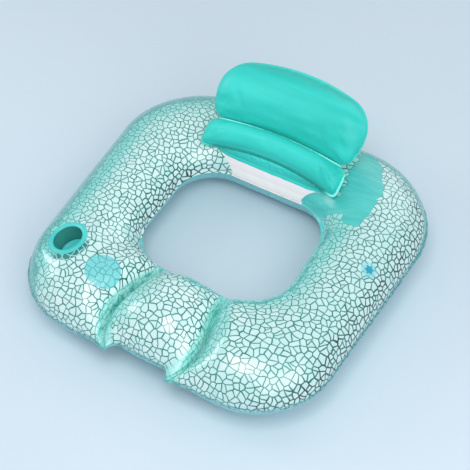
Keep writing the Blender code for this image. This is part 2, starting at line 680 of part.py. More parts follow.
back_q = PILLOW_HEIGHT * BACK_VALVE_HEIGHT_SHARE
across = BACK_VALVE_SIDE
half = PILLOW_HEIGHT / 2
share = abs(back_q - half) / half
valve_spot = Vector(back_place(across, back_q, -GAP / 2 - PILLOW_REAR_BULGE * math.sqrt(1 - share ** 2),
                               pillow["foot_y"], pillow["foot_z"], PILLOW_RECLINE, PILLOW_HALF_WIDTH))
rear_normal = Vector((2 * BACK_BOW * across / PILLOW_HALF_WIDTH ** 2, math.cos(PILLOW_RECLINE),
                      -math.sin(PILLOW_RECLINE))).normalized()
back_valve_frame = Matrix.Translation(valve_spot) @ rear_normal.to_track_quat("Z", "Y").to_matrix().to_4x4()
back_patch = add_object("back_valve_base", chamber_sheet(
    "back_valve_base", bulge=PILLOW_REAR_BULGE, front=-1, **pillow), "blue_valve", back)
solidify(back_patch, FILM + GAP, VALVE_FLANGE_THICKNESS)
add_valve("back_valve", back_valve_frame, films["pillow_rear_sheet"], back_patch, back)
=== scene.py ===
"""Looks of an inflatable pool chair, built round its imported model.

Metres, +Z up, +Y towards the backrest and +X to the sitter's left, as in the model. Every chamber is two films
welded round their edge, so each film is made again here from the rule that shaped its solid, with far more
points, the gathers along its welds and the print on its face.
"""

import math
from contextlib import contextmanager

import bmesh
import bpy
import numpy as np
from mathutils import Matrix, Vector
from mathutils.bvhtree import BVHTree


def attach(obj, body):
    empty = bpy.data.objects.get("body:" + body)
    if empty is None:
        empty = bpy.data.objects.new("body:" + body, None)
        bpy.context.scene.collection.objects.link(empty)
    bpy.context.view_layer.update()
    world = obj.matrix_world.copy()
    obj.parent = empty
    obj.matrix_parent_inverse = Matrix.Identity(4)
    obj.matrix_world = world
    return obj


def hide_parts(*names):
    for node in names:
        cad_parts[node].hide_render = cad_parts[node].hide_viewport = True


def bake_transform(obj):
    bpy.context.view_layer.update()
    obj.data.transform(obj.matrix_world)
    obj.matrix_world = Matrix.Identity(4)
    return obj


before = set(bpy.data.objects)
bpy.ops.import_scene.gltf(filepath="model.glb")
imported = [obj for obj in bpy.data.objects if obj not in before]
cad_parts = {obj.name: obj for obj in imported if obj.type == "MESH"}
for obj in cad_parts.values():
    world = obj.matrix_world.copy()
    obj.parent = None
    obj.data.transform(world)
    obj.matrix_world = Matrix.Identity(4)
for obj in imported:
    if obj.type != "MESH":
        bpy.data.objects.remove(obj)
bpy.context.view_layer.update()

# Ring outlines, seen from above: the outer and the inner weld line.
RING_FRONT_WIDTH, RING_BACK_WIDTH, RING_DEPTH, RING_SETBACK = 0.950, 1.098, 1.018, 0.0064
RING_FRONT_CORNER, RING_BACK_CORNER = 0.2325, 0.2817
HOLE_WIDTH, HOLE_DEPTH, HOLE_SETBACK, HOLE_FRONT_CORNER, HOLE_BACK_CORNER = 0.508, 0.443, 0.0204, 0.1425, 0.138
TUBE_HALF_HEIGHT, FLOOR_FLAT = 0.1078, 0.004
FILM, LIP, GAP = 0.0005, 0.006, 0.0003
MID_PLANE = TUBE_HALF_HEIGHT - FLOOR_FLAT + FILM + GAP / 2

# The two cross welds that part the front of the ring into three lobes.
CREASE_OUTER_HALF, CREASE_INNER_HALF, CREASE_BOW, CREASE_BOW_POWER, WELD_BAR = 0.105, 0.113, 0.040, 1.8, 0.008
LOBE_RISE, MIDDLE_RISE, MIDDLE_SETBACK, LOBE_REACH, CREASE_REACH, REACH_RUN = 0.090, 0.100, 0.018, 0.008, 0.016, 0.032

# Cup, disc and valve on the top film.
CUP_STATION, CUP_ROW, CUP_LEAN, CUP_HEADING, CUP_DROP = 2.12, 0.58, math.radians(14), math.radians(204), 0.003
CUP_MOUTH, CUP_FOOT, CUP_DEPTH, CUP_WALL, CUP_FLANGE = 0.0505, 0.0440, 0.056, 0.0010, 0.0585
CUP_SEAT, CUP_SEAT_BLEND = 0.070, 0.045
DISC_STATION, DISC_ROW, DISC_RADIUS = 1.36, 0.49, 0.050
VALVE_STATION, VALVE_ROW, VALVE_HOLE, VALVE_FLANGE = 3.14, 0.66, 0.0093, 0.019

# White panel, weld strip and tail at the foot of the backrest.
PANEL_FOOT_HALF, PANEL_TOP_HALF, PANEL_FOOT_HEIGHT, PANEL_RUN = 0.121, 0.178, 0.003, 0.0175
STRIP_HALF, STRIP_RUN, TAIL_FOOT_HALF, TAIL_CLEARANCE, TAIL_BILLOW = 0.190, 0.004, 0.176, 0.0013, 0.006
PANEL_FILM, STRIP_FILM, TAIL_FILM, HEM_LIFT, TAIL_COLUMNS, TAIL_ROWS = 0.0005, 0.0006, 0.0006, 0.0009, 160, 14
SLOPE_FROM, SLOPE_ROWS, SLOPE_FINE = 3.5, 17, 4

# Backrest chambers: where the foot lies, how far the plane leans, its size, how square the corners of its foot and
# head are, how far its front (1) and rear (-1) film bulge, whether the other chamber is welded to its head (1) or
# foot (-1), how far the head arches, the foot bows and the foot narrows, and how many points turn round an end.
BACK_BOW, BACK_LIP, BACK_COLUMNS = 0.031, 0.006, 150
ROLL = dict(foot_y=0.2315, foot_z=0.2019, recline=math.radians(57), height=0.085, half_width=0.236,
            corners=(4.5, 4.5), bulges={1: 0.036, -1: 0.024}, joint=1, crown=0.0, foot_bow=0.015, taper=0.0, turns=48)
ROLL_RUN = ROLL["height"] + 2 * BACK_LIP + GAP
PILLOW = dict(foot_y=ROLL["foot_y"] + ROLL_RUN * math.sin(ROLL["recline"]),
              foot_z=ROLL["foot_z"] + ROLL_RUN * math.cos(ROLL["recline"]), recline=math.radians(48), height=0.172,
              half_width=0.250, corners=(3.8, 2.7), bulges={1: 0.056, -1: 0.050}, joint=-1, crown=0.026,
              foot_bow=0.0, taper=0.045, turns=64)
BACK_VALVE_SIDE, BACK_VALVE_HEIGHT, BACK_VALVE_SEAT, BACK_VALVE_BLEND = 0.110, 0.42, 0.020, 0.035
FULLNESS, JOINT_FULLNESS, JOINT_REACH = 2.35, 1.9, 0.0042
BEAD_HALF, BEAD_TAPER_FROM, BEAD_PROUD = 0.216, 0.180, 0.011

# Valves: sleeve, plug and stem.
SLEEVE, SLEEVE_WALL, SLEEVE_LENGTH, SLEEVE_PROUD, BASE_THICK = 0.0090, 0.0010, 0.030, 0.0010, 0.0008
PLUG_HEAD, PLUG_HEAD_HEIGHT, STEM_WALL, PLUG_LENGTH = 0.0102, 0.0024, 0.0018, 0.009

# How fine the films are and how they are laid out flat, and how wide a cell of the print is.
RING_COLUMNS, RING_ROWS, ARC_STEPS, DENSER, DENSER_RUN = 1000, 44, 96, 1.8, 0.035
LAYOUT_STEPS, LAYOUT_ROUNDS, LAYOUT_PULL, EASE_HALF = (8, 4), 500, 0.1, 20
MERGE, FILM_MERGE, CELL = 1e-6, 1e-5, 0.0180

# How far the films swell and wave between their welds, how ragged their lips are and how deep the cup's wall folds.
RING_SWELL, SEAM_DRIFT, BACK_SWELL, BACK_WAVE, LIP_RAGGED, WALL_FOLD = 0.0007, 0.0011, 0.0006, 0.0006, 0.12, 0.0007

# Gathers: shortest and longest step between them with how many are drawn, depth and reach at no and per full
# strength, and the least share of its depth that one keeps; then those of the cross welds, and the cloth run.
RING_GATHERS = dict(spacing=(0.011, 0.021, 400), depths=(0.0006, 0.0026), reaches=(0.022, 0.045), least=0.4)
BACK_GATHERS = dict(spacing=(0.010, 0.022, 300), depths=(0.0009, 0.0017), reaches=(0.018, 0.022), least=0.3)
GATHER_WIDTH, GATHER_REACH, GATHER_START = (0.0035, 0.0060), (0.5, 1.2), 0.006
CREASE_GATHERS, CREASE_WIDTH, CREASE_DEPTH, CREASE_RUN = 26, 0.013, (0.0007, 0.0018), (0.016, 0.036)
CLOTH_FRAMES, CLOTH_SLACK, CLOTH_CAP = 18, 0.02, 0.006

# Directions: towards the main lamp, by which light and shade are also painted on the printed film; the fixed view
# that faces with a painted edge-on sheen turn from; across the arm where that sheen is painted; and towards the
# cup's shaded side, where the shade of its wall is painted on the film.
LIT_WAY = (-0.858, -0.136, 0.492)
SEEN_WAY = (0.320, -0.555, 0.768)
BACK_WAY = (-0.5, 0.866)
CUP_SHADE_WAY = (0.76, -0.65, 0.0)
UP = Vector((0, 0, 1))


def smooth(x, low, high):
    """0 at low and below, 1 at high and above, smooth between."""
    t = np.clip((x - low) / (high - low), 0, 1)
    return t * t * (3 - 2 * t)


def unit(ways):
    """Directions at length 1."""
    return ways / np.linalg.norm(ways, axis=-1, keepdims=True)


def run_along(points):
    """Length from the first point to each point of a line, or of every line of a grid."""
    steps = np.linalg.norm(np.diff(points, axis=-2), axis=-1)
    return np.concatenate([np.zeros_like(steps[..., :1]), np.cumsum(steps, axis=-1)], axis=-1)


# Outlines and stations of the ring
def half_outline(front_half, back_half, middle, depth, front_radius, back_radius):
    """The +X half of a rounded trapezium from front middle to back middle, with the lengths at its five knots."""
    front_y, back_y = middle - depth / 2, middle + depth / 2
    corners = [np.array(p) for p in ((0, front_y), (front_half, front_y), (back_half, back_y), (0, back_y))]
    ends = []
    for k, radius in ((1, front_radius), (2, back_radius)):
        u, w = (v / np.linalg.norm(v) for v in (corners[k - 1] - corners[k], corners[k + 1] - corners[k]))
        half = math.acos(u @ w) / 2
        start, end = corners[k] + u * radius / math.tan(half), corners[k] + w * radius / math.tan(half)
        centre = corners[k] + (u + w) / np.linalg.norm(u + w) * radius / math.sin(half)
        first, last = (math.atan2(*(p - centre)[::-1]) for p in (start, end))
        angles = np.linspace(first, last + (2 * math.pi if last < first else 0), ARC_STEPS + 1)
        ends.append((start, [centre + radius * np.array((math.cos(a), math.sin(a))) for a in angles], end))
    path = [corners[0]] + ends[0][1] + [(ends[0][2] + ends[1][0]) / 2] + ends[1][1] + [corners[3]]
    knots = [0, 1 + ARC_STEPS // 2, ARC_STEPS + 2, ARC_STEPS + 3 + ARC_STEPS // 2, len(path) - 1]
    path = np.array(path)
    lengths = run_along(path)
    return path, lengths, lengths[knots]


outer_path, outer_lengths, outer_knots = half_outline(
    RING_FRONT_WIDTH / 2, RING_BACK_WIDTH / 2, RING_SETBACK, RING_DEPTH, RING_FRONT_CORNER, RING_BACK_CORNER)
inner_path, inner_lengths, inner_knots = half_outline(
    HOLE_WIDTH / 2, HOLE_WIDTH / 2, HOLE_SETBACK, HOLE_DEPTH, HOLE_FRONT_CORNER, HOLE_BACK_CORNER)
KNOTS = np.arange(6)
outer_stations = np.insert(outer_knots, 1, CREASE_OUTER_HALF)
inner_stations = np.insert(inner_knots, 1, CREASE_INNER_HALF)
mean_stations = (outer_stations + inner_stations) / 2


def on_path(path, lengths, at):
    """Points of an outline at lengths along it."""
    return np.stack([np.interp(at, lengths, path[:, 0]), np.interp(at, lengths, path[:, 1])], axis=-1)


def ring_points(stations, sides, rows, top, outer_at=None, inner_at=None):
    """Points of a ring film's inner face, one line of rows per station: row 0 is the inner weld and 1 the outer."""
    outer_at = np.interp(stations, KNOTS, outer_stations) if outer_at is None else outer_at
    inner_at = np.interp(stations, KNOTS, inner_stations) if inner_at is None else inner_at
    outer, inner = on_path(outer_path, outer_lengths, outer_at), on_path(inner_path, inner_lengths, inner_at)
    away = from_crease(stations)
    middle = stations < 1
    swell = np.sqrt(np.maximum(1 - (1 - np.minimum(away / np.where(middle, MIDDLE_RISE, LOBE_RISE), 1)) ** 2, 0))
    near = np.maximum(1 - away / REACH_RUN, 0) ** 2
    reach = np.where(middle, MIDDLE_SETBACK, -LOBE_REACH * np.clip(2 - stations, 0, 1))
    outer[:, 1] += reach * (1 - near) - CREASE_REACH * near
    angle = math.pi * np.asarray(rows)
    across = (1 - np.cos(angle)) / 2
    place = inner[:, None] + (outer - inner)[:, None] * across[None, :, None]
    weight = np.where(middle, stations, np.maximum(2 - stations, 0))
    place[..., 0] += weight[:, None] * CREASE_BOW * np.sin(math.pi * across ** CREASE_BOW_POWER)
    height = TUBE_HALF_HEIGHT * swell[:, None] * np.sin(angle)
    if top < 0:
        flat = TUBE_HALF_HEIGHT - FLOOR_FLAT
        height = np.where(height > flat - FLOOR_FLAT, flat - FLOOR_FLAT * np.exp(
            -np.maximum(height - flat + FLOOR_FLAT, 0) / FLOOR_FLAT), height)
    return np.stack([place[..., 0] * sides[:, None], place[..., 1], MID_PLANE + top * (GAP / 2 + height)], axis=-1)


def from_crease(stations):
    """Distance along the tube from the nearer edge of the cross weld's bar."""
    away = np.abs(np.interp(stations, KNOTS, mean_stations) - mean_stations[1])
    return np.maximum(away - WELD_BAR / 2, 0)


def ring_frame(station, side, row, drop=0.0):
    """A frame on the top film's inner face: +Z is its outward normal, and its origin is lowered by drop."""
    step = 1e-3
    stations = np.array([station - step, station, station + step])
    grid = ring_points(stations, np.full(3, side), [row - step, row, row + step], 1)
    normal = Vector(np.cross(grid[2, 1] - grid[0, 1], grid[1, 2] - grid[1, 0])).normalized()
    normal = -normal if normal.z < 0 else normal
    turn = normal.to_track_quat("Z", "Y").to_matrix().to_4x4()
    return Matrix.Translation(Vector(grid[1, 1]) - normal * drop) @ turn


cup_axis = Vector((math.sin(CUP_LEAN) * math.cos(CUP_HEADING), math.sin(CUP_LEAN) * math.sin(CUP_HEADING),
                   math.cos(CUP_LEAN)))
cup_frame = (Matrix.Translation(ring_frame(CUP_STATION, -1, CUP_ROW, CUP_DROP).translation)
             @ cup_axis.to_track_quat("Z", "Y").to_matrix().to_4x4())
disc_frame = ring_frame(DISC_STATION, -1, DISC_ROW)
ring_valve_frame = ring_frame(VALVE_STATION, 1, VALVE_ROW)


def axial(points, placed):
    """Height along a frame's axis and distance from it for an array of points, and the axis."""
    axis = np.array(placed.to_3x3().col[2])
    offset = points - np.array(placed.translation)
    height = offset @ axis
    return height, np.linalg.norm(offset - height[..., None] * axis, axis=-1), axis


def seated(points, placed, seat, blend):
    """Draws a film flat round the flange that is welded to it."""
    height, radius, axis = axial(points, placed)
    return points - axis * (height * (1 - smooth(radius, seat, seat + blend)))[..., None]


# Meshes
@contextmanager
def opened(mesh):
    """A mesh open for editing, written back at the end of the block."""
    shape = bmesh.new()
    shape.from_mesh(mesh)
    yield shape
    shape.to_mesh(mesh)
    shape.free()


def merged(mesh, reach, outwards=False):
    """Merges doubles and drops faces of no size; the faces of a closed mesh can be turned outwards after that."""
    with opened(mesh) as shape:
        bmesh.ops.remove_doubles(shape, verts=shape.verts, dist=reach)
        bmesh.ops.dissolve_degenerate(shape, edges=shape.edges, dist=reach)
        if outwards:
            bmesh.ops.recalc_face_normals(shape, faces=shape.faces)
    return mesh


def faced(mesh, way):
    """Turns the faces of an open film to look along a direction."""
    if sum(p.normal.dot(way) * p.area for p in mesh.polygons) < 0:
        mesh.flip_normals()
    return mesh


def grid_faces(columns, rows, closed):
    """Quads of a grid whose points run row by row within each column."""
    k = np.arange(columns if closed else columns - 1)[:, None]
    j = np.arange(rows - 1)[None, :]
    after = (k + 1) % columns
    return np.stack([k * rows + j, k * rows + j + 1, after * rows + j + 1, after * rows + j], axis=-1).reshape(-1, 4)


def grid_mesh(name, points, closed=True, uv=None, marks=None, more=None):
    """A mesh over a grid of points, with a flat layout as its UV map, one value per point for each mark, more quads."""
    faces = grid_faces(*points.shape[:2], closed)
    mesh = bpy.data.meshes.new(name)
    mesh.from_pydata(points.reshape(-1, 3).tolist(), [],
                     (faces if more is None else np.concatenate([faces, more])).tolist())
    if uv is not None:
        index = np.empty(len(mesh.loops), np.int32)
        mesh.loops.foreach_get("vertex_index", index)
        mesh.uv_layers.new(name="film").data.foreach_set(
            "uv", uv.reshape(-1, 2).astype(np.float32)[index].ravel())
    for mark, values in (marks or {}).items():
        mesh.attributes.new(mark, "FLOAT", "POINT").data.foreach_set("value", values.astype(np.float32).ravel())
    return mesh


def linked(name, data):
    """A new object of the scene."""
    made = bpy.data.objects.new(name, data)
    bpy.context.scene.collection.objects.link(made)
    return made


def add_piece(name, mesh, look, body, nodes=()):
    """Links a mesh as a piece of the object."""
    piece = linked(name, mesh)
    mesh.materials.append(look)
    mesh.shade_smooth()
    if nodes:
        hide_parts(*nodes)
    if body:
        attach(piece, body)
    return piece


def dress(node, look):
    """Gives a solid of the model, shown as it is, its finish."""
    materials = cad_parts[node].data.materials
    materials.clear()
    materials.append(look)


def finished(piece):
    """Turns a piece's modifiers into its own mesh."""
    graph = bpy.context.evaluated_depsgraph_get()
    made = bpy.data.meshes.new_from_object(piece.evaluated_get(graph), preserve_all_data_layers=True, depsgraph=graph)
    piece.modifiers.clear()
    piece.data = made
    return piece


def thicken(piece, start, thickness):
    """Gives an open film its thickness outwards along its normals, from a start above it."""
    made = piece.modifiers.new("Film", "SOLIDIFY")
    made.thickness, made.offset, made.use_even_offset = thickness, 1 + 2 * start / thickness, False
    return finished(piece)


def add_padded_film(name, mesh, way, look, body, node, holes=()):
    """Adds a bulging film that looks along way, opened by holes; returns a search tree of the film before them."""
    faced(mesh, way)
    tree = BVHTree.FromPolygons([v.co.copy() for v in mesh.vertices], [tuple(p.vertices) for p in mesh.polygons])
    if holes:
        punched(mesh, holes)
    piece = thicken(add_piece(name, mesh, look, body, [node]), 0, FILM)
    return tree


def punched(mesh, holes, reach=0.03):
    """Cuts round holes in an open film: the faces inside go, and the points at the edge move onto the circle."""
    with opened(mesh) as shape:
        shape.verts.ensure_lookup_table()
        places = np.array([v.co for v in shape.verts])
        for placed, radius in holes:
            height, out, axis = axial(places, placed)
            inside = (out < radius) & (np.abs(height) < reach)
            doomed = [f for f in shape.faces if all(inside[v.index] for v in f.verts)]
            bmesh.ops.delete(shape, geom=doomed, context="FACES_ONLY")
            centre, axis = Vector(placed.translation), Vector(axis)
            for v in shape.verts:
                if inside[v.index] and v.link_faces:
                    offset = v.co - centre
                    along = axis * offset.dot(axis)
                    v.co = centre + along + (offset - along).normalized() * radius
        bmesh.ops.delete(shape, geom=[v for v in shape.verts if not v.link_faces], context="VERTS")


def blown(points, held, out):
    """Blows a closed film up as cloth held along its welds, so that its spare length gathers there."""
    start, index = np.unique(np.round(points.reshape(-1, 3), 6), axis=0, return_inverse=True)
    index = index.ravel()
    loops = [list(dict.fromkeys(f)) for f in index[grid_faces(*points.shape[:2], True)].tolist()]
    mesh = bpy.data.meshes.new("cloth")
    mesh.from_pydata(start.tolist(), [], [f for f in loops if len(f) > 2])
    film = linked("cloth", faced(mesh, out))
    film.vertex_groups.new(name="held").add(np.unique(index[held.ravel()]).tolist(), 1.0, "REPLACE")
    cloth = film.modifiers.new("Cloth", "CLOTH").settings
    cloth.quality, cloth.mass, cloth.air_damping = 5, 0.15, 2.0
    cloth.tension_stiffness = cloth.compression_stiffness = 25
    cloth.shear_stiffness, cloth.bending_stiffness = 8, 0.3
    cloth.tension_damping = cloth.compression_damping = cloth.shear_damping = 8
    cloth.use_pressure, cloth.uniform_pressure_force = True, 4
    cloth.shrink_min, cloth.vertex_group_mass = -CLOTH_SLACK, "held"
    cloth.effector_weights.gravity = 0
    scene = bpy.context.scene
    for moment in range(1, CLOTH_FRAMES + 1):
        scene.frame_set(moment)
    made = film.evaluated_get(bpy.context.evaluated_depsgraph_get()).data
    end = np.empty(len(start) * 3)
    made.vertices.foreach_get("co", end)
    move = end.reshape(-1, 3) - start
    move *= np.minimum(1, CLOTH_CAP / np.maximum(np.linalg.norm(move, axis=1, keepdims=True), 1e-9))
    bpy.data.objects.remove(film)
    bpy.data.meshes.remove(mesh)
    scene.frame_set(1)
    move = move[index].reshape(points.shape)
    for _ in range(2):
        calm = move / 2 + (np.roll(move, 1, axis=0) + np.roll(move, -1, axis=0)) / 4
        calm[:, 1:-1] = calm[:, 1:-1] / 2 + (calm[:, 2:] + calm[:, :-2]) / 4
        calm[:, -1] = move[:, -1]
        move = np.where(held[..., None], 0, calm)
    return points + move


# Shader maths
def colour(shade):
    """Screen values from 0 to 255 as a colour for a socket; a node's output stays as it is."""
    if isinstance(shade, Wire):
        return shade
    return tuple(v / 12.92 if v <= 0.04045 else ((v + 0.055) / 1.055) ** 2.4
                 for v in (s / 255 for s in shade)) + (1.0,)


class Wire:
    """A value in a material; arithmetic on it adds Math nodes."""

    def __init__(self, look, socket):
        self.look, self.socket = look, socket

    def maths(self, operation, other):
        return self.look.node("ShaderNodeMath", {"operation": operation}, {0: self, 1: other})

    def __add__(self, other):
        return self.maths("ADD", other)

    def __sub__(self, other):
        return self.maths("SUBTRACT", other)

    def __rsub__(self, other):
        return self * -1 + other

    def __mul__(self, other):
        return self.maths("MULTIPLY", other)

    __radd__, __rmul__ = __add__, __mul__

    def larger(self, other):
        return self.maths("MAXIMUM", other)

    def ramp(self, low, high):
        """0 at low and below, 1 at high and above, smooth between."""
        return self.look.node("ShaderNodeMapRange", {"interpolation_type": "SMOOTHSTEP"},
                              {"Value": self, "From Min": low, "From Max": high})


class Look:
    """One material and the nodes that are added to it."""

    def __init__(self, name):
        self.material = bpy.data.materials.new(name)
        self.material.use_nodes = True
        self.tree = self.material.node_tree
        self.shader = self.tree.nodes["Principled BSDF"]

    def node(self, kind, settings=None, inputs=None, output=0):
        """Adds a node: its settings are set first, then the values or links of its sockets."""
        made = self.tree.nodes.new(kind)
        for key, value in (settings or {}).items():
            setattr(made, key, value)
        for key, value in (inputs or {}).items():
            self.feed(made.inputs[key], value)
        return Wire(self, made.outputs[output])

    def feed(self, socket, value):
        if isinstance(value, Wire):
            self.tree.links.new(value.socket, socket)
        else:
            socket.default_value = value

    def mark(self, name):
        return self.node("ShaderNodeAttribute", {"attribute_name": name}, output="Fac")

    def place(self):
        return self.node("ShaderNodeTexCoord", output="Object")

    def flat(self):
        """Where a point of a film lies on the film as it was printed."""
        return self.node("ShaderNodeUVMap", {"uv_map": "film"})

    def noise(self, place, scale, detail=2.0, roughness=0.5):
        return self.node("ShaderNodeTexNoise", None, {
            "Vector": place, "Scale": scale, "Detail": detail, "Roughness": roughness}, "Fac")

    def streaks(self, place, stretch, detail):
        """Noise drawn out along one axis."""
        return self.noise(self.node("ShaderNodeMapping", None, {"Vector": place, "Scale": stretch}), 1.0, detail)

    def mix(self, share, first, second):
        """A colour between two, each a node's output or screen values."""
        return self.node("ShaderNodeMix", {"data_type": "RGBA"}, {0: share, 6: colour(first), 7: colour(second)}, 2)

    def coats(self, base, *coats):
        """Colours laid over a base in turn, each given as how much of it shows and the colour."""
        for share, over in coats:
            base = self.mix(share, base, over)
        return base

    def spot(self, place, centre, radius, squeeze=1.0, turn=0.0):
        """1 at a spot on the flat film, 0 at its edge and below 0 outside; the spot may be an oval."""
        moved = self.node("ShaderNodeMapping", {"vector_type": "TEXTURE"}, {
            "Vector": place, "Location": (*centre, 0), "Rotation": (0, 0, turn),
            "Scale": (radius, radius * squeeze, 1)})
        return 1 - self.node("ShaderNodeVectorMath", {"operation": "LENGTH"}, {0: moved}, 1)

    def bump(self, height, distance, **under):
        return self.node("ShaderNodeBump", None, {"Height": height, "Distance": distance, "Strength": 1.0, **under})

    def finish(self, **sockets):
        for key, value in sockets.items():
            self.feed(self.shader.inputs[key.replace("_", " ")], value)
        return self.material


# Ring films
def seam_wave(length):
    """How far the outer seam strays along the tube, between -1 and 1, at a length along it."""
    return (np.sin(length * 2 * math.pi / 0.061 + 1.3) * 0.45 + np.sin(length * 2 * math.pi / 0.0271) * 0.3
            + np.sin(length * 2 * math.pi / 0.117 + 0.4) * 0.25)


def gathers(along, away, period, spots, widths, depths, reaches):
    """Grooves that start at a weld and fade over the film: along and away are where each point lies."""
    total = np.zeros_like(away)
    for spot, width, depth, reach in zip(spots, widths, depths, reaches):
        offset = (along - spot + period / 2) % period - period / 2
        spread = width * (0.7 + 0.9 * np.clip(away / reach, 0, 1))
        fade = (1 - np.exp(-(away / GATHER_START) ** 2)) * (1 - smooth(away, 0, reach))
        total -= depth * np.exp(-(offset / spread) ** 2) * fade
    return total


def weld_gathers(chance, along, away, period, last, strength_at, spacing, depths, reaches, least):
    """Gathers at random steps along a weld, deeper and longer where strength_at is near 1, up to a last spot."""
    spots = np.cumsum(chance.uniform(*spacing))
    spots = spots[spots < last]
    strength = strength_at(spots)
    width, deep, far = (chance.uniform(*span, len(spots)) for span in (GATHER_WIDTH, (least, 1.0), GATHER_REACH))
    return gathers(along, away, period, spots, width, (depths[0] + depths[1] * strength) * deep,
                   (reaches[0] + reaches[1] * strength) * far)


def grid_normals(points, closed, up):
    """Unit normals of a grid, facing the way that up points."""
    if closed:
        along = np.roll(points, -1, axis=0) - np.roll(points, 1, axis=0)
    else:
        along = np.gradient(points, axis=0)
    normal = np.cross(along, np.gradient(points, axis=1))
    normal /= np.maximum(np.linalg.norm(normal, axis=-1, keepdims=True), 1e-12)
    return normal * np.where((normal @ np.asarray(up)).mean() < 0, -1, 1)


def between_rows(grid, at):
    """Points on the columns of a grid at places between its rows."""
    low = np.minimum(at.astype(int), grid.shape[1] - 2)
    share = (at - low)[None, :, None]
    return grid[:, low] * (1 - share) + grid[:, low + 1] * share


def flat_layout(points, column_step, row_step):
    """Lays a closed film out flat, as it was printed: springs keep the distances of a coarser grid."""
    sparse = points[::column_step, ::row_step]
    middle = sparse[:, sparse.shape[1] // 2, :2]
    reach = run_along(sparse)
    reach -= reach[:, [sparse.shape[1] // 2]]
    out = unit(sparse[:, -1, :2] - sparse[:, 0, :2])
    flat = middle[:, None] + out[:, None] * reach[..., None]
    links = [(1, slice(None), slice(None)), (0, slice(None, -1), slice(1, None)),
             (1, slice(None, -1), slice(1, None)), (1, slice(1, None), slice(None, -1))]
    rest = [np.linalg.norm(np.roll(sparse, -a, axis=0)[:, there] - sparse[:, here], axis=-1)
            for a, here, there in links]
    for _ in range(LAYOUT_ROUNDS):
        push = np.zeros_like(flat)
        for (a, here, there), length in zip(links, rest):
            span = np.roll(flat, -a, axis=0)[:, there] - flat[:, here]
            now = np.linalg.norm(span, axis=-1)
            pull = span * ((now - length) / now)[..., None] * LAYOUT_PULL
            push[:, here] += pull
            far = np.zeros_like(flat)
            far[:, there] = pull
            push -= np.roll(far, a, axis=0)
        flat += push
    columns, rows = points.shape[:2]
    wide = np.concatenate([flat, flat[:1]]).transpose(1, 0, 2)
    by_column = between_rows(wide, np.arange(columns) / column_step).transpose(1, 0, 2)
    return between_rows(by_column, np.arange(rows) / row_step)


def ring_stations():
    """Stations and sides of the film's columns, closer together by the cross welds."""
    half = RING_COLUMNS // 2
    at = np.linspace(0, mean_stations[-1], 4001)
    density = 1 + DENSER * np.exp(-((at - mean_stations[1]) / DENSER_RUN) ** 2)
    share = np.concatenate([[0], np.cumsum((density[1:] + density[:-1]) / 2)])
    at = np.interp(np.linspace(0, share[-1], half + 1), share, at)
    stations = np.interp(at, mean_stations, KNOTS)
    return np.concatenate([stations, stations[-2:0:-1]]), np.concatenate([np.ones(half + 1), -np.ones(half - 1)])


def eased(lengths, stations):
    """Evens out the pairing of the two outlines where it changes pace, away from the cross welds."""
    half = RING_COLUMNS // 2 + 1
    line = lengths[:half]
    padded = np.concatenate([-line[EASE_HALF:0:-1], line, 2 * line[-1] - line[-2:-EASE_HALF - 2:-1]])
    kernel = np.hanning(2 * EASE_HALF + 1)
    even = np.convolve(padded, kernel / kernel.sum(), "valid")
    share = smooth(from_crease(stations[:half]), 0.02, 0.09)
    line = line * (1 - share) + even * share
    return np.concatenate([line, line[-2:0:-1]])


stations, sides = ring_stations()
rows = np.linspace(0, 1, RING_ROWS + 1)
outer_at = eased(np.interp(stations, KNOTS, outer_stations), stations)
inner_at = eased(np.interp(stations, KNOTS, inner_stations), stations)
seam_length = np.where(sides > 0, outer_at, 2 * outer_knots[-1] - outer_at)
corner = sum(np.exp(-((stations - s) / w) ** 2) * a for s, w, a in ((2, 0.42, 1.0), (4, 0.5, 1.0), (3, 0.5, 0.25)))


def film_shape(top, seed):
    """Grid of one ring film with its gathers, its flat layout, and what its marks are worked out from."""
    chance = np.random.default_rng(seed)
    points = ring_points(stations, sides, rows, top, outer_at, inner_at)
    normal = grid_normals(points, True, (0, 0, top))
    from_inner = run_along(points)
    from_outer = from_inner[:, -1:] - from_inner
    away = np.repeat(from_crease(stations)[:, None], len(rows), axis=1)
    layout = flat_layout(points, *LAYOUT_STEPS)
    period = 2 * outer_knots[-1]
    order = np.argsort(seam_length)
    shift = weld_gathers(chance, seam_length[:, None], from_outer, period, period,
                         lambda spots: np.interp(spots, seam_length[order], corner[order]), **RING_GATHERS)
    for side in (1, -1):
        spots = np.cumsum(chance.uniform(0.6, 1.4, CREASE_GATHERS))
        spots = spots / spots[-1]
        here = (sides[:, None] == side) & (stations[:, None] > 0)
        end = 1 + 0.9 * smooth(spots, 0.7, 1)
        part = gathers(np.broadcast_to(rows[None, :], away.shape), away, 10.0, spots, np.full(len(spots), CREASE_WIDTH),
                       *(chance.uniform(*span, len(spots)) * end for span in (CREASE_DEPTH, CREASE_RUN)))
        shift += np.where(here, part, 0)
    swell = np.sin(seam_length[:, None] * 2 * math.pi * 11 / period + 3.1 * rows[None, :] * 2) * np.sin(
        math.pi * rows[None, :]) * smooth(away, 0.03, 0.1)
    shift += RING_SWELL * swell
    points = points + normal * shift[..., None]
    drift = seam_wave(seam_length)[:, None] * (0.25 + 0.75 * corner[:, None]) * np.exp(-(from_outer / 0.016) ** 2)
    points[..., 2] += SEAM_DRIFT * drift
    if top > 0:
        points = seated(points, cup_frame, CUP_SEAT, CUP_SEAT_BLEND)
    else:
        points[..., 2] = np.maximum(points[..., 2], FILM + 0.0001)
    way = unit(points[:, -1, :2] - points[:, 0, :2])
    return points, layout, dict(away=away, from_outer=from_outer, from_inner=from_inner, normal=normal, way=way,
                                facing=way @ np.array(BACK_WAY), x=points[..., 0])


def lipped(grid, way, ragged=1.0):
    """A film's grid with two more lines of points along each edge, for its flat weld lips."""
    inner, outer, reach = grid[:, :1], grid[:, -1:], way[:, None] * LIP
    return np.concatenate([inner - reach, inner - reach / 2, grid, outer + reach / 2, outer + reach * ragged], axis=1)


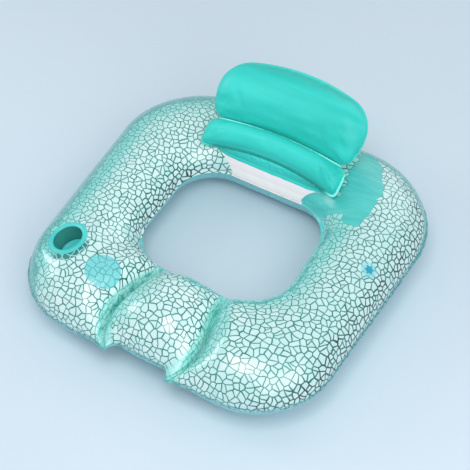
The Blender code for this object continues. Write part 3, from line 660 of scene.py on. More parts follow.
def add_ring_film(name, side, points, layout, marks, look, node, holes=()):
    """Adds the ring's top (1) or bottom (-1) film with its weld lips; returns a search tree of it."""
    ragged = 1 + LIP_RAGGED * np.sin(seam_length * 2 * math.pi / 0.043)
    marks = {k: np.pad(v, ((0, 0), (2, 2)), "edge") for k, v in marks.items()}
    mesh = grid_mesh(name, lipped(points, unit((points[:, -1] - points[:, 0]) * (1, 1, 0)), ragged[:, None, None]),
                     True, lipped(layout, unit(layout[:, -1] - layout[:, 0])), marks)
    return add_padded_film(name, mesh, Vector((0, 0, side)), look, "ring", node, holes)


def nearest_layout(points, layout, place):
    """Where a place in space lies on the flat film."""
    gap = np.linalg.norm(points - np.array(place), axis=-1)
    return tuple(float(v) for v in layout[np.unravel_index(gap.argmin(), gap.shape)])


top_points, top_layout, top_found = film_shape(1, 11)
cup_spot, disc_spot, valve_spot = (nearest_layout(top_points, top_layout, placed.translation)
                                   for placed in (cup_frame, disc_frame, ring_valve_frame))


def film_marks(found):
    """Values that the films' finishes read, one per point.

    crease, rim and inside are how near the cross weld, the outer weld and the inner weld lie; painted_sheen_bare marks
    the faces turned from the view and painted_sheen_wash the left arm's outer wall, where a teal edge-on sheen is
    painted, and foot the white edge under the panel; painted_lamp_light is how far the film looks to the main lamp, by
    which light and shade are painted on the print, and painted_glow where painted emission lifts the shade of valleys
    and walls.
    """
    away, outer, inner = found["away"], found["from_outer"], found["from_inner"]
    toward = found["normal"] @ np.array(SEEN_WAY)
    at, right = stations[:, None], (sides > 0)[:, None]
    left = (sides < 0)[:, None] * smooth(at, 1.6, 2.0)
    low = np.where(left > 0, 0.40 + 0.13 * np.exp(-((at - 2.0) / 0.40) ** 2), 0.34)
    # Painted edge-on sheen: faces turned from the view, and a band along the left arm's outer weld, turn teal.
    painted_sheen_bare = 1 - smooth(toward, low, low + 0.24)
    painted_sheen_bare = np.maximum(painted_sheen_bare, left * (1 - smooth(outer, 0.030, 0.070)))
    back = smooth(found["facing"] + 0.28 * (sides < 0), -0.34, -0.06)[:, None] * smooth(rows, 0.3, 0.5)
    # The hole's edge on the right arm, turned from the view: painted sheen and painted emission there.
    hole = (1 - smooth(toward, 0.26, 0.46)) * (1 - smooth(rows, 0.4, 0.5)) * (right & (at < 4.3))
    # The left arm's outer wall, washed teal as a painted edge-on sheen.
    wash = smooth((found["normal"][..., :2] * found["way"][:, None]).sum(axis=-1), -0.42, 0.50) * left
    shaded = smooth(found["normal"][..., 0], 0.05, 0.60)
    return {"crease": 1 - smooth(away, 0.0, 0.030), "rim": 1 - smooth(outer, 0.0, 0.030),
            "inside": (1 - smooth(inner, 0.006, 0.020)) * np.where(right, 1.0, at < 2.2),
            "painted_sheen_bare": np.maximum(painted_sheen_bare * back, hole * 0.6), "painted_sheen_wash": wash * back,
            "foot": (np.abs(found["x"]) < PANEL_FOOT_HALF + 0.006) * (at > 4.2) * (1 - smooth(inner, 0.008, 0.014)),
            # How far the film faces the main lamp: the finish paints light and shade on the print by it.
            "painted_lamp_light": found["normal"] @ np.array(LIT_WAY),
            # Painted light: emission in the valleys of the cross welds, on the hole's edge of the right arm and on the
            # left arm's inner wall, where it lifts their shade.
            "painted_glow": np.maximum.reduce([(1 - smooth(away, 0.002, 0.060)) * shaded, hole, 0.42 * left * shaded])}


# Finishes
def crackle(look, flat, shade_weight):
    """Lines, cell borders, cell places and a chance per cell of the crackle print; lines are wider where the last
    argument is high, which paints shade into the print.
    """
    bent = look.node("ShaderNodeVectorMath", {"operation": "MULTIPLY_ADD"}, {
        0: look.node("ShaderNodeTexNoise", None, {"Vector": flat, "Scale": 38.0, "Detail": 0.0}, "Color"),
        1: (0.010, 0.010, 0.0), 2: flat})
    cells, edge = (look.node("ShaderNodeTexVoronoi", {"voronoi_dimensions": "2D", "feature": feature}, {
        "Vector": bent, "Scale": 1 / CELL, "Randomness": 0.92}, output)
        for feature, output in (("F1", "Position"), ("DISTANCE_TO_EDGE", "Distance")))
    chance = look.node("ShaderNodeTexWhiteNoise", {"noise_dimensions": "2D"}, {"Vector": cells}, "Value")
    half_line = 0.042 + look.noise(flat, 55.0, 1.0) * 0.064 + shade_weight * 0.046
    return 1 - (edge - half_line).ramp(-0.020, 0.026), 1 - edge.ramp(0.04, 0.32), cells, chance


def printed_film():
    """Glossy film with the crackle print: pale and dark cell colours and pleats at the cross welds, with painted
    light laid over it: light and shade from the main lamp, an edge-on sheen, emission that lifts the valleys' shade,
    the shade of the cup's wall and the backrest's teal shadow.
    """
    look = Look("crackle_printed_film")
    flat = look.flat()
    broad = look.noise(flat, 3.2)
    crease, rim, painted_sheen_wash, painted_sheen_bare, painted_lamp_light, painted_glow, inside = (look.mark(m) for m in (
        "crease", "rim", "painted_sheen_wash", "painted_sheen_bare", "painted_lamp_light", "painted_glow", "inside"))
    # Lines widen on faces turned from the main lamp, a painted shade, less where painted emission lies.
    line, border, cells, chance = crackle(look, flat, 1 - (painted_lamp_light + painted_glow * 0.5).ramp(-0.55, 0.25))
    # Cells turn pale teal by how far they face the main lamp and on the cross welds' lamp side, a painted light, and
    # where the edge-on sheen is painted.
    painted_lamp_mint = painted_lamp_light.ramp(0.50, 0.94).larger(crease * painted_lamp_light.ramp(-0.30, 0.35)).larger(painted_sheen_wash * 0.9)
    right_side = look.node("ShaderNodeSeparateXYZ", None, {0: flat}, "X").ramp(0.16, 0.38)
    fade = look.noise(flat, 19.0, 1.0).ramp(0.42, 0.66)
    disc = look.spot(flat, disc_spot, DISC_RADIUS).ramp(-0.03, 0.03)
    # The cup's wall in shade, seen through the film on the cup's shaded side: a painted shade, dark cells under pale
    # lines.
    painted_cup_wall_shade = look.spot(flat, cup_spot, CUP_FLANGE + 0.019).ramp(-0.01, 0.03) * look.mark("cup_shade").ramp(0.55, 0.68)
    halo = look.spot(flat, valve_spot, VALVE_FLANGE + 0.008).ramp(0.0, 0.12)
    # A band of print by the backrest's right end that its painted shadow leaves clear.
    strip = look.spot(cells, (0.230, 0.372), 0.105, 0.11, math.radians(90)).ramp(-0.02, 0.02)
    # The backrest's teal shadow on the ring, painted, its edge ragged along the cells.
    ragged = look.node("ShaderNodeMix", {"data_type": "VECTOR"}, {0: 0.45, 4: cells, 5: flat}, 1)
    painted_backrest_shadow = look.spot(ragged, (0.290, 0.312), 0.160, 0.39, math.radians(-74)).larger(
        look.spot(ragged, (0.196, 0.222), 0.100, 0.36, math.radians(4))).ramp(-0.01, 0.01)
    # Teal cells where the edge-on sheen is painted.
    sheen_cell_colour = look.mix((1.14 - painted_sheen_bare) * chance.ramp(0.35, 0.75), (86, 178, 176), (150, 224, 212))
    pleats = look.mix(look.streaks(flat, (170.0, 17.0, 1.0), 1.0).ramp(0.42, 0.60), (164, 228, 222), (78, 190, 180))
    # Colour of the backrest's painted teal shadow, faintly streaked.
    backrest_shadow_colour = look.mix(look.streaks(flat, (13.0, 64.0, 1.0), 3.0).ramp(0.25, 0.75), (68, 192, 186), (92, 204, 200))
    cell = look.coats(
        look.mix(chance * 0.6 + broad * 0.4, (194, 230, 229), (222, 241, 240)),
        ((painted_lamp_mint * 0.9).larger(border * 0.36), look.mix(chance, (134, 213, 208), (162, 228, 223))),
        # Painted edge-on sheen: a teal wash on the left arm's outer wall here, teal cells on faces turned from the view
        # below.
        (painted_sheen_wash.ramp(0.45, 1.0) * 0.62, (88, 204, 195)), (right_side * 0.36, (166, 214, 212)),
        (painted_sheen_bare.ramp(0.05, 0.50), sheen_cell_colour), (crease * rim * 0.8, (70, 186, 164)), (inside, (84, 206, 200)),
        (disc, (118, 212, 214)), (painted_cup_wall_shade, (14, 118, 114)), (halo * 0.75, (142, 220, 226)),
        (strip * 0.85, (140, 236, 224)))
    dark = look.coats(
        # Line colours: darkest on faces turned from the main lamp, a painted shade, lifted where painted emission lies;
        # paler where they face it, a painted reflection, and at random; paler in the painted edge-on sheen.
        look.mix((painted_lamp_light + broad * 0.4 + painted_glow * 0.25 - 0.2).ramp(-0.50, 0.20), (0, 18, 17), (0, 108, 100)),
        (painted_lamp_light.ramp(0.50, 0.95).larger(fade * 0.30), (52, 166, 154)), (painted_sheen_wash * 0.85, (54, 164, 160)),
        (painted_sheen_bare.ramp(0.0, 0.7), (54, 146, 142)), (inside, (70, 192, 188)), (disc * 0.8, (84, 184, 186)),
        (painted_cup_wall_shade, (150, 226, 222)), (halo * 0.6, (96, 186, 196)), (strip * 0.8, (0, 34, 32)))
    shown = look.coats(
        look.mix(line, cell, dark), (crease.ramp(0.48, 0.80) * 0.75, pleats), (painted_backrest_shadow * (1 - strip), backrest_shadow_colour),
        (rim.ramp(0.86, 1.0) * 0.75, (60, 148, 160)), (look.mark("foot"), (240, 236, 236)))
    normal = look.bump(line, 0.00008, Normal=look.bump(look.noise(flat, 26.0, 2.0, 0.45), 0.0006))
    # Emission gives off the painted light that the marks place in the valleys and on the walls.
    return look.finish(Base_Color=shown, Roughness=0.34 + broad * 0.10, Normal=normal, Specular_IOR_Level=0.35,
                       # Less coat in the painted shadow, so the lamps make no highlight in it.
                       Coat_Weight=0.85 - painted_backrest_shadow * 0.60, Coat_Roughness=0.18, Coat_IOR=1.75,
                       Emission_Color=look.mix(painted_glow, (0, 0, 0), shown), Emission_Strength=0.22)


def tinted_film():
    """Clear teal film of the underside, darker at its outer weld."""
    look = Look("tinted_film")
    flat = look.flat()
    broad = look.noise(flat, 4.0)
    shown = look.mix(broad, (112, 198, 208), (148, 222, 226))
    shown = look.mix(look.mark("rim").ramp(0.80, 1.0) * 0.5, shown, (76, 184, 180))
    return look.finish(Base_Color=shown, Roughness=0.22 + broad * 0.1, Normal=look.bump(look.noise(flat, 24.0), 0.0006),
                       Coat_Weight=0.3, Coat_Roughness=0.12, Alpha=0.92)


def vinyl(name, low, high, roughness=0.30, ripple=0.0004, scale=30.0, coat=0.25, gloss=0.5, weld=None):
    """Smooth coloured vinyl film with faint streaks along its roll, paler where a weld flattens it, and darker
    where the weld mark is below 0, which paints shade.
    """
    look = Look(name)
    place = look.place()
    fine = look.noise(place, scale, 3.0, 0.55)
    shown = look.mix(look.streaks(place, (2.2, 16.0, 16.0), 3.0).ramp(0.3, 0.7), low, high)
    if weld:
        pressed_and_shade = look.mark("weld")
        shown = look.coats(shown, (pressed_and_shade.larger(0.0), weld[0]), ((pressed_and_shade * -1).larger(0.0), weld[1]))
    return look.finish(Base_Color=shown, Roughness=roughness - 0.05 + fine * 0.10, Normal=look.bump(fine, ripple),
                       Coat_Weight=coat, Coat_Roughness=0.20, Specular_IOR_Level=gloss)


def panel_film():
    """White film in two tones that meet half way down the panel."""
    look = Look("white_vinyl_film")
    place = look.place()
    high = look.node("ShaderNodeSeparateXYZ", None, {0: place}, "Z")
    streak = look.streaks(place, (6.0, 60.0, 60.0), 2.0)
    shown = look.mix((high + streak * 0.004).ramp(0.1365, 0.1385), (252, 247, 245), (242, 234, 238))
    return look.finish(Base_Color=shown, Roughness=0.34, Normal=look.bump(streak, 0.0004), Coat_Weight=0.2,
                       Coat_Roughness=0.2)


film_look = printed_film()
under_look = tinted_film()
# The darker of teal vinyl's weld colours paints shade, along the roll's foot.
teal_look = vinyl("teal_vinyl_film", (38, 196, 184), (60, 216, 206), 0.45, coat=0.03, gloss=0.33,
                  weld=((132, 244, 236), (14, 128, 120)))
cup_look = vinyl("cup_vinyl", (58, 196, 192), (76, 210, 206), 0.38, coat=0.10)
# Lit and shaded copies of the cup's vinyl: the floor painted lighter as painted light, the inner wall darker as painted
# shade.
cup_floor_light_look = vinyl("cup_vinyl_painted_light", (92, 238, 234), (112, 246, 242))
cup_wall_shade_look = vinyl("cup_vinyl_painted_shade", (54, 142, 136), (68, 158, 151), 0.34)
white_look = panel_film()
valve_look = vinyl("blue_valve_moulding", (18, 144, 174), (32, 162, 190), 0.34, 0.0001, 90.0)
flange_look = vinyl("pale_valve_flange", (128, 210, 216), (156, 224, 228), ripple=0.0002, scale=60.0)
# The bead's pale weld vinyl, painted lighter still as the highlight that runs along the joint.
bead_highlight_look = vinyl("weld_bead_vinyl_painted_highlight", (130, 244, 236), (152, 250, 244), ripple=0.0001, scale=120.0)

# Top and bottom film
marks = film_marks(top_found)
# How far each point lies towards the cup's shaded side, where the wall's shade is painted on the film.
offset = top_points - np.array(cup_frame.translation)
marks["cup_shade"] = (offset @ np.array(CUP_SHADE_WAY)) / np.maximum(np.linalg.norm(offset, axis=-1), 1e-6)
film_tree = add_ring_film(
    "ring_top_film", 1, top_points, top_layout, marks, film_look, "ring_top_sheet",
    [(cup_frame, CUP_MOUTH + CUP_WALL + GAP), (ring_valve_frame, VALVE_HOLE)])
low_points, low_layout, low_found = film_shape(-1, 23)
add_ring_film("ring_bottom_film", -1, low_points, low_layout, film_marks(low_found), under_look,
              "ring_bottom_sheet")


# Turned pieces
def add_turned(name, profile, placed, steps, look, body, nodes=(), wave=None, tree=None):
    """Adds a piece turned from a closed (radius, height) profile about a frame's axis, settled on a film's tree."""
    angles = np.linspace(0, 2 * math.pi, steps, endpoint=False)[:, None]
    radius, height = (np.repeat(side[None, :], steps, axis=0) for side in np.array(profile).T)
    if wave is not None:
        radius, height = wave(radius, height, angles)
    x, y = radius * np.cos(angles), radius * np.sin(angles)
    turn, centre = np.array(placed.to_3x3()), np.array(placed.translation)
    base = np.zeros_like(height)
    if tree is not None:
        for k, j in np.ndindex(*x.shape):
            start = centre + turn @ np.array((x[k, j], y[k, j], 0.04))
            hit = tree.ray_cast(Vector(start), -Vector(turn[:, 2]))[0]
            if hit is not None:
                base[k, j] = (np.array(hit) - centre) @ turn[:, 2]
    points = np.stack([x, y, height + base], axis=-1) @ turn.T + centre
    count = len(profile)
    here = np.arange(steps) * count
    after = np.roll(here, -1)
    closing = np.stack([here + count - 1, here, after, after + count - 1], axis=-1)
    return add_piece(name, merged(grid_mesh(name, points, more=closing), MERGE, True), look, body, nodes)


def rounded(corners, radius, steps=5):
    """A closed profile with its corners rounded, but for those on the axis."""
    out = []
    for k in range(len(corners)):
        before, here, after = (np.array(corners[(k + d) % len(corners)], float) for d in (-1, 0, 1))
        a, b = before - here, after - here
        la, lb = np.linalg.norm(a), np.linalg.norm(b)
        if here[0] == 0:
            out.append(tuple(here))
            continue
        cut = min(radius, la / 2.1, lb / 2.1)
        start, end = here + a / la * cut, here + b / lb * cut
        out += [tuple((1 - t) ** 2 * start + 2 * t * (1 - t) * here + t * t * end) for t in np.linspace(0, 1, steps)]
    return out


# Cup
cup_top = FILM + GAP + 0.0008
rim_profile = [(CUP_MOUTH + CUP_WALL + GAP, FILM + GAP), (CUP_FLANGE, FILM + GAP),
               (CUP_FLANGE + 0.0030, FILM + GAP + 0.0006), (CUP_FLANGE + 0.0010, cup_top + 0.0010)]
rim_profile += [(CUP_MOUTH + out, cup_top + up) for out, up in (
    (0.0050, 0.0030), (0.0004, 0.0034), (-0.0046, 0.0020), (-0.0060, -0.0012), (-0.0036, -0.0036), (-0.0002, -0.0008),
    (CUP_WALL, 0.0006))]
add_turned("cup_flange_and_bead", rounded(rim_profile, 0.0014), cup_frame, 144, cup_look, "ring",
           ["cup_flange"])


def wall_wave(radius, height, angle):
    """The wall's shallow vertical folds, which fade to the mouth."""
    deep = np.clip(-height / CUP_DEPTH, 0, 1)
    fold = np.cos(angle * 9 + 0.6) * 0.5 + np.cos(angle * 17 + 2.0) * 0.3
    return radius - WALL_FOLD * (1 + fold) * np.sin(math.pi * deep), height


levels = np.linspace(0, 1, 15)
wall_run = CUP_DEPTH + GAP + CUP_WALL
taper = (CUP_MOUTH - CUP_FOOT) / CUP_DEPTH * wall_run
wall_profile = [(mouth - taper * t, cup_top - wall_run * t)
                for mouth, way in ((CUP_MOUTH + CUP_WALL, 1), (CUP_MOUTH, -1)) for t in levels[::way]]
add_turned("cup_side_wall", wall_profile, cup_frame, 144, cup_wall_shade_look, "ring", ["cup_wall"], wall_wave)
floor_high = cup_top - CUP_DEPTH - GAP
floor_edge = CUP_MOUTH - taper - GAP
floor_profile = [(0, floor_high - CUP_WALL), (floor_edge - 0.0006, floor_high - CUP_WALL),
                 (floor_edge, floor_high - CUP_WALL / 2), (floor_edge - 0.0004, floor_high)]
floor_profile += [(r, floor_high + 0.0008 * h) for r, h in (
    (0.0420, 0), (0.0395, 0.2), (0.0380, 1.0), (0.0365, 0.2), (0.0300, 0.0), (0.0220, 0.15), (0.0205, 0.8),
    (0.0190, 0.15), (0.0100, 0.0), (0.0, 0.0))]
add_turned("cup_base_disc", floor_profile, cup_frame, 96, cup_floor_light_look, "ring", ["cup_floor"])
dress("lobe_disc", cup_look)


# Panel and weld strip on the rear slope
def slope_patch(name, planes, thickness, look, nodes, ripple=0.0, scoops=()):
    """A sheet on the ring's rear slope, trimmed by planes, scooped by circles seen from the front and lifted off."""
    keep = np.flatnonzero(stations > SLOPE_FROM)
    at = np.linspace(0, SLOPE_ROWS, SLOPE_FINE * SLOPE_ROWS + 1)
    grid = between_rows(top_points[keep, :SLOPE_ROWS + 1], at)
    normal = grid_normals(grid, False, (0, -0.5, 1))
    wave = np.sin(grid[..., 0] * 2 * math.pi / 0.047 + 0.5 * at[None, :]) * np.sin(grid[..., 0] * 21 + 1)
    mesh = grid_mesh(name, grid + normal * (ripple * (0.5 + 0.5 * wave))[..., None], False)
    with opened(mesh) as shape:
        for point, out in planes:
            geom = shape.verts[:] + shape.edges[:] + shape.faces[:]
            bmesh.ops.bisect_plane(shape, geom=geom, dist=MERGE, plane_co=point, plane_no=out, clear_outer=True)
    punched(mesh, scoops, reach=1.0)
    thicken(add_piece(name, faced(mesh, UP), look, "ring", nodes), FILM + GAP, thickness)


def slope_height(x, y):
    """Height of the top film's inner face on the rear slope."""
    return film_tree.ray_cast(Vector((x, y, 0.4)), -UP)[0].z


slope_near = inner_path[-1][1]
panel_far = slope_near + PANEL_RUN
strip_near, strip_far = panel_far + GAP, panel_far + GAP + STRIP_RUN
run = panel_far - (slope_near - LIP)
spread = PANEL_TOP_HALF - PANEL_FOOT_HALF
foot_z, head_z = MID_PLANE + PANEL_FOOT_HEIGHT, slope_height(PANEL_TOP_HALF, panel_far)
panel_planes = [((0, panel_far, 0), (0, 1, 0)), ((0, 0, foot_z), (0, 0, -1))]
panel_scoops = []
for side, sagitta in ((1, 0.012), (-1, 0.008)):
    panel_planes.append(((side * PANEL_FOOT_HALF, slope_near - LIP, 0), (side * run, -spread, 0)))
    foot_end, head_end = np.array((side * PANEL_FOOT_HALF, foot_z)), np.array((side * PANEL_TOP_HALF, head_z))
    chord = np.linalg.norm(head_end - foot_end)
    scoop_radius = chord ** 2 / (8 * sagitta) + sagitta / 2
    outward = np.array((side * (head_end - foot_end)[1], -side * (head_end - foot_end)[0])) / chord
    centre = (foot_end + head_end) / 2 + outward * (scoop_radius - sagitta)
    panel_scoops.append((Matrix.Translation((centre[0], slope_near, centre[1]))
                         @ Matrix.Rotation(math.pi / 2, 4, "X"), scoop_radius))
slope_patch("white_back_panel", panel_planes, PANEL_FILM, white_look, ["rear_panel"], 0.0010,
            panel_scoops)
strip_planes = [((0, strip_near, 0), (0, -1, 0)), ((0, strip_far, 0), (0, 1, 0)),
                ((STRIP_HALF, 0, 0), (1, 0, 0)), ((-STRIP_HALF, 0, 0), (-1, 0, 0))]
slope_patch("backrest_weld_strip", strip_planes, STRIP_FILM, teal_look, ["back_weld_strip"])


# Backrest chambers
def back_place(x, q, depth, plane):
    """Points of a chamber: q up its reclined plane, depth towards the sitter, and the whole back bowed."""
    half_width, height, lean = plane["half_width"], plane["height"], plane["recline"]
    bow = (BACK_BOW + plane["foot_bow"] * np.maximum(1 - q / height, 0)) * (1 - (x / half_width) ** 2)
    y = plane["foot_y"] + q * math.sin(lean) - depth * math.cos(lean) + bow
    z = plane["foot_z"] + q * math.cos(lean) + depth * math.sin(lean)
    return np.stack([x, y, z], axis=-1)


def chamber_loop(plane):
    """Core and edge points round a chamber on its own plane."""
    half, turns = plane["height"] / 2, plane["turns"]
    core = plane["half_width"] - half
    line = np.linspace(-core, core, BACK_COLUMNS + 1)
    angle = math.pi * (np.arange(1, turns) / turns - 0.5)
    power = np.where(angle < 0, *plane["corners"])
    c = np.abs(np.cos(angle)) ** (2 / power)
    s = np.sign(np.sin(angle)) * np.abs(np.sin(angle)) ** (2 / power)
    ends = np.full(turns - 1, core)
    across = np.concatenate([line, ends, line[::-1], -ends])
    foot, head, rise = np.zeros_like(line), np.full_like(line, half * 2), half + half * s
    edges = np.stack([np.concatenate([line, core + half * c, line[::-1], (-core - half * c)[::-1]]),
                      np.concatenate([foot, rise, head, rise[::-1]])], 1)
    edges[:, 1] += plane["crown"] * (1 - (edges[:, 0] / plane["half_width"]) ** 2) * np.maximum(
        edges[:, 1] - half, 0) / half
    edges[:, 0] *= 1 - plane["taper"] * np.maximum(1 - edges[:, 1] / half, 0)
    return np.stack([across, np.full_like(across, half)], 1), edges


def chamber_film(name, plane, front, seed, rings, valve=None):
    """One film of a chamber, gathered along its weld, with its flat lip; a valve's frame seats and opens it there."""
    chance = np.random.default_rng(seed)
    cores, edges = chamber_loop(plane)
    middle = plane["height"] / 2
    side = np.clip((edges[:, 1] - middle) / middle * plane["joint"], 0, 1)
    grown = JOINT_REACH * smooth(side, 0.5, 0.95)
    way = np.roll(edges, -1, axis=0) - np.roll(edges, 1, axis=0)
    out = unit(np.stack([way[:, 1], -way[:, 0]], 1))
    edges = edges + out * grown[:, None]
    lip = (BACK_LIP - grown)[:, None]
    lengths = run_along(edges)
    period = lengths[-1] + np.linalg.norm(edges[0] - edges[-1])
    angle = math.pi / 2 * np.arange(rings + 1)[None, :] / rings
    fullness = (FULLNESS + (JOINT_FULLNESS - FULLNESS) * smooth(side, 0.3, 0.9))[:, None]
    share = np.maximum(np.cos(angle), 0) ** (2 / fullness)
    share[:, -1] = 0
    flat = cores[:, None] + (edges - cores)[:, None] * share[..., None]
    depth = plane["bulges"][front] * np.sin(angle) ** (2 / fullness)
    away = run_along(np.stack([np.linalg.norm(edges - cores, axis=1)[:, None] * (1 - share), depth], -1))
    dent = weld_gathers(chance, lengths[:, None], away, period, period - 0.005, lambda spots: smooth(
        np.abs(np.interp(spots, lengths, edges[:, 0])) / plane["half_width"], 0.55, 1.0), **BACK_GATHERS)
    depth = depth + dent + BACK_SWELL * np.sin(flat[..., 0] * 42 + seed) * np.sin(flat[..., 1] * 37) * (1 - share)
    wave = BACK_WAVE * np.sin(lengths * 2 * math.pi / 0.034) * (0.3 + 0.7 * smooth(np.abs(edges[:, 0]), 0.12, 0.24))
    near = np.exp(-(away / 0.012) ** 2)
    body = back_place(flat[..., 0], flat[..., 1], front * (GAP / 2 + depth) + wave[:, None] * near, plane)
    lips = [back_place(*(edges + out * lip * d).T, front * (GAP / 2) + wave, plane) for d in (1, 0.5)]
    lean = plane["recline"]
    outward = Vector((0, -front * math.cos(lean), front * math.sin(lean)))
    held = np.zeros(body.shape[:2], bool)
    held[:, 0] = True
    body = blown(body, held, outward)
    if valve:
        body = seated(body, valve, BACK_VALVE_SEAT, BACK_VALVE_BLEND)
    points = np.concatenate([np.stack(lips, axis=1), body], axis=1)
    weld = np.zeros(points.shape[:2])
    weld[:, :3] = 0.15
    if plane is ROLL:
        end = smooth(edges[:, 0], 0.19, 0.22) * (1 - smooth(side, 0.7, 0.9))
        # foot: a painted shade on the roll's lips along its foot, where it meets the tail.
        foot = (1 - smooth(edges[:, 1], 0.0, 0.030)) * (1 - smooth(np.abs(edges[:, 0]), 0.19, 0.22))
        weld[:, :3] += (0.85 * end - 0.90 * foot)[:, None]
    weld[:, 3] = weld[:, 2] / 2
    mesh = merged(grid_mesh(name + "_film", points, marks={"weld": weld}), FILM_MERGE)
    return add_padded_film(name + "_film", mesh, outward, teal_look, "backrest", name + "_sheet",
                           [(valve, VALVE_HOLE)] if valve else ())


back_q = PILLOW["height"] * BACK_VALVE_HEIGHT
half = PILLOW["height"] / 2
rise = PILLOW["bulges"][-1] * math.sqrt(1 - (abs(back_q - half) / half) ** 2)
spot = Vector(back_place(np.array(BACK_VALVE_SIDE), np.array(back_q), -GAP / 2 - rise, PILLOW))
rear_normal = Vector((2 * BACK_BOW * BACK_VALVE_SIDE / PILLOW["half_width"] ** 2, math.cos(PILLOW["recline"]),
                      -math.sin(PILLOW["recline"]))).normalized()
back_valve_frame = Matrix.Translation(spot) @ rear_normal.to_track_quat("Z", "Y").to_matrix().to_4x4()
back_trees = {name: chamber_film(name, *made) for name, *made in (
    ("roll_front", ROLL, 1, 31, 20), ("roll_rear", ROLL, -1, 37, 16), ("pillow_front", PILLOW, 1, 41, 30),
    ("pillow_rear", PILLOW, -1, 43, 30, back_valve_frame))}


# Weld bead between the roll and the pillow
def bead_tree(look):
    """Node tree that sweeps a finely ribbed bead along a path."""
    tree = bpy.data.node_groups.new("weld_bead", "GeometryNodeTree")
    sockets = {}
    tree.interface.new_socket("Path", in_out="INPUT", socket_type="NodeSocketGeometry")
    for name, kind in (("Radius", "Float"), ("Rib Height", "Float"), ("Rib Length", "Float"), ("Sides", "Int")):
        sockets[name] = tree.interface.new_socket(name, in_out="INPUT", socket_type="NodeSocket" + kind).identifier
    tree.interface.new_socket("Bead", in_out="OUTPUT", socket_type="NodeSocketGeometry")

    def node(kind, links, **settings):
        made = tree.nodes.new(kind)
        for key, value in settings.items():
            setattr(made, key, value)
        for key, value in links.items():
            if isinstance(value, bpy.types.NodeSocket):
                tree.links.new(value, made.inputs[key])
            else:
                made.inputs[key].default_value = value
        return made

    given = node("NodeGroupInput", {}).outputs
    step = node("ShaderNodeMath", {0: given["Rib Length"], 1: 6.0}, operation="DIVIDE").outputs[0]
    path = node("GeometryNodeMeshToCurve", {"Mesh": given["Path"]}).outputs[0]
    path = node("GeometryNodeResampleCurve", {"Curve": path, "Length": step}, mode="LENGTH").outputs[0]
    run = node("GeometryNodeSplineParameter", {}).outputs["Length"]
    turns = node("ShaderNodeMath", {0: run, 1: given["Rib Length"]}, operation="DIVIDE").outputs[0]
    turns = node("ShaderNodeMath", {0: turns, 1: 2 * math.pi}, operation="MULTIPLY").outputs[0]
    wave = node("ShaderNodeMath", {0: turns}, operation="SINE").outputs[0]
    wide = node("ShaderNodeMath", {0: wave, 1: given["Rib Height"], 2: given["Radius"]}, operation="MULTIPLY_ADD")
    ring = node("GeometryNodeCurvePrimitiveCircle", {"Resolution": given["Sides"], "Radius": 1.0}).outputs[0]
    bead = node("GeometryNodeCurveToMesh", {"Curve": path, "Profile Curve": ring, "Scale": wide.outputs[0],
                                            "Fill Caps": True}).outputs[0]
    bead = node("GeometryNodeRealizeInstances", {"Geometry": bead}).outputs[0]
    bead = node("GeometryNodeSetMaterial", {"Geometry": bead, "Material": look}).outputs[0]
    tree.links.new(bead, node("NodeGroupOutput", {}).inputs[0])
    return tree, sockets


def add_bead(name, path, look, sizes):
    """A welded bead along a line of points."""
    mesh = bpy.data.meshes.new(name)
    mesh.from_pydata([tuple(p) for p in path], [(k, k + 1) for k in range(len(path) - 1)], [])
    piece = linked(name, mesh)
    swept = piece.modifiers.new("Bead", "NODES")
    swept.node_group, sockets = bead_tree(look)
    for key, value in sizes.items():
        swept[sockets[key]] = value
    finished(piece)
    if sum(p.normal.dot(p.center - Vector(path[np.linalg.norm(path - np.array(p.center), axis=1).argmin()])) * p.area
           for p in piece.data.polygons) < 0:
        piece.data.flip_normals()
    piece.data.shade_smooth()
    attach(piece, "backrest")


joint_x = np.linspace(-BEAD_HALF, BEAD_HALF, 121)
joint_q = np.full_like(joint_x, -BACK_LIP) - 0.0006
joint_depth = BEAD_PROUD * (1 - smooth(np.abs(joint_x), BEAD_TAPER_FROM, BEAD_HALF)) + FILM
add_bead("joint_weld_bead", back_place(joint_x, joint_q, joint_depth, PILLOW), bead_highlight_look,
         {"Radius": 0.0027, "Rib Height": 0.00014, "Rib Length": 0.004, "Sides": 10})


# Tail: the free film from the weld strip to the roll's lip
across = np.linspace(-1, 1, TAIL_COLUMNS + 1)
foot_y = strip_far + GAP + TAIL_CLEARANCE
foot = np.array([(x * TAIL_FOOT_HALF, foot_y, slope_height(x * TAIL_FOOT_HALF, foot_y) + FILM + TAIL_CLEARANCE)
                 for x in across])
head_x = across * (ROLL["half_width"] - ROLL["height"] / 2)
head = back_place(head_x, np.full_like(head_x, -BACK_LIP - 0.0012), np.zeros_like(head_x), ROLL)
rise = np.linspace(0, 1, TAIL_ROWS + 1)[None, :]
sheet = foot[:, None] * (1 - rise[..., None]) + head[:, None] * rise[..., None]
lean = across[:, None] + 0.05 * rise
fold = np.sin(lean * 41 + 1.1) * 0.4 + np.sin(lean * 73 + 0.3) * 0.35 + np.sin(lean * 17) * 0.4
crumple = np.sin(rise * 13 + 5 * np.sin(across * 6)[:, None]) * np.sin(across * 29 + 2)[:, None]
billow = TAIL_BILLOW * np.sin(math.pi * rise) * (1 + 0.55 * fold + 0.25 * crumple) + 0.0006 * np.abs(fold) * rise
sheet = sheet + np.stack([np.zeros_like(billow), -billow / 2, billow], axis=-1)
hems = [[(x * TAIL_FOOT_HALF, y, slope_height(x * TAIL_FOOT_HALF, y) + FILM + GAP + HEM_LIFT) for x in across]
        for y in (strip_near + 0.0002, strip_near + 0.0022, strip_far)]
sheet = np.concatenate([np.array(hems).transpose(1, 0, 2), sheet], axis=1)
mesh = faced(grid_mesh("backrest_tail_film", sheet, False), UP)
tail = add_piece("backrest_tail_film", mesh, teal_look, None, ["back_tail"])
thicken(tail, 0, TAIL_FILM)
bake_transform(tail)

# Valves
def star_wave(radius, height, angle):
    """Six grips round the plug's head."""
    grip = smooth(radius, 0.0060, 0.0085) * (0.5 + 0.5 * np.cos(6 * angle)) ** 2
    return radius * (0.88 + 0.64 * grip), height - 0.0003 * grip


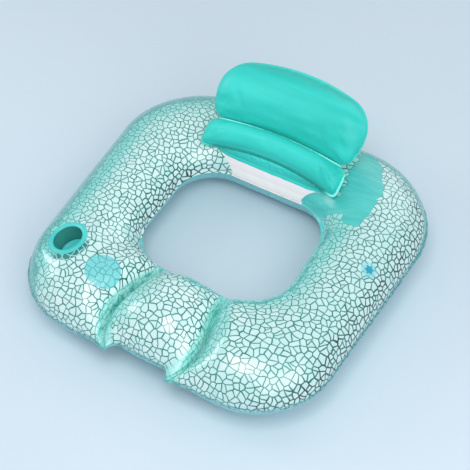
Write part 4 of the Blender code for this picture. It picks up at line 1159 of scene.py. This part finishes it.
def add_valve(prefix, placed, tree, body):
    """Welded base, sleeve and plug of a valve on a film whose inner face passes through the frame."""
    name, lift = prefix + "_valve_", FILM + GAP
    top, bore = lift + BASE_THICK + SLEEVE_PROUD, SLEEVE - SLEEVE_WALL
    flange = [(SLEEVE + 0.0002, lift), (VALVE_FLANGE, lift)]
    flange += [(VALVE_FLANGE - inwards, lift + BASE_THICK * up) for inwards, up in (
        (0, 0.6), (0.0016, 1), (0.0050, 0.8), (0.0062, 1.5), (0.0074, 0.8))] + [(SLEEVE + 0.0002, lift + BASE_THICK)]
    sleeve = [(bore, top), (SLEEVE, top), (SLEEVE, top - SLEEVE_LENGTH), (bore, top - SLEEVE_LENGTH)]
    plug, head = bore - GAP - STEM_WALL - GAP, top + GAP
    star = [(0, head + PLUG_HEAD_HEIGHT * 0.6), (0.0030, head + PLUG_HEAD_HEIGHT * 0.6),
            (0.0040, head + PLUG_HEAD_HEIGHT), (PLUG_HEAD - 0.0012, head + PLUG_HEAD_HEIGHT),
            (PLUG_HEAD, head + PLUG_HEAD_HEIGHT / 2), (PLUG_HEAD, head), (plug, head),
            (plug * 0.9, top - PLUG_LENGTH), (0, top - PLUG_LENGTH)]
    add_turned(name + "flange", rounded(flange, 0.0004, 3), placed, 64, flange_look, body,
               [name + "base"], tree=tree)
    add_turned(name + "sleeve", rounded(sleeve, 0.0003, 3), placed, 48, valve_look, body)
    add_turned(name + "star_plug", rounded(star, 0.0004, 3), placed, 72, valve_look, prefix + "_plug",
               [name + "plug"], star_wave)
    for part in ("stem", "flap"):
        dress(name + part, valve_look)


add_valve("ring", ring_valve_frame, film_tree, "ring")
add_valve("back", back_valve_frame, back_trees["pillow_rear"], "backrest")

# Camera, floor and light
camera = linked("camera", bpy.data.cameras.new("camera"))
camera.data.lens, camera.data.sensor_width = 77.16, 36
camera.data.clip_start, camera.data.clip_end = 0.05, 50
camera.matrix_world = Matrix(((0.8662, -0.38362, 0.32027, 0.99945), (0.4997, 0.66491, -0.55512, -1.69148),
                              (0.0, 0.64089, 0.76764, 2.47817), (0, 0, 0, 1)))
bpy.context.scene.camera = camera

floor_look = Look("pale_floor")
ground = floor_look.node("ShaderNodeTexNoise", None, {"Vector": floor_look.place(), "Scale": 0.6}, "Fac")
mesh = bpy.data.meshes.new("floor")
mesh.materials.append(floor_look.finish(
    Base_Color=floor_look.mix(ground, (204, 219, 230), (211, 225, 235)), Roughness=0.9))
with opened(mesh) as shape:
    bmesh.ops.create_grid(shape, x_segments=2, y_segments=2, size=14)
floor = linked("floor", mesh)
floor.location.z = -0.0005

# Square soft boxes that look at the chair: the way to each, its distance, width and power
for name, way, distance, size, power in (
        ("key_box", LIT_WAY, 3.2, 1.0, 16), ("high_box", (0.10, -0.36, 0.92), 3.0, 1.25, 24),
        ("fill_box", (0.66, -0.40, 0.60), 3.6, 2.4, 42), ("back_box", (0.15, 0.85, 0.5), 3.6, 2.2, 14)):
    lamp = bpy.data.lights.new(name, "AREA")
    lamp.shape, lamp.size, lamp.energy = "SQUARE", size, power
    box, way = linked(name, lamp), Vector(way).normalized()
    box.location = Vector((0, 0, 0.12)) + way * distance
    box.rotation_mode = "QUATERNION"
    box.rotation_quaternion = way.to_track_quat("Z", "Y")
world = bpy.data.worlds.new("studio")
bpy.context.scene.world = world
world.use_nodes = True
sky = world.node_tree.nodes["Background"]
sky.inputs["Color"].default_value = colour((236, 242, 246))
sky.inputs["Strength"].default_value = 0.65
bpy.context.scene.view_settings.view_transform = "Standard"
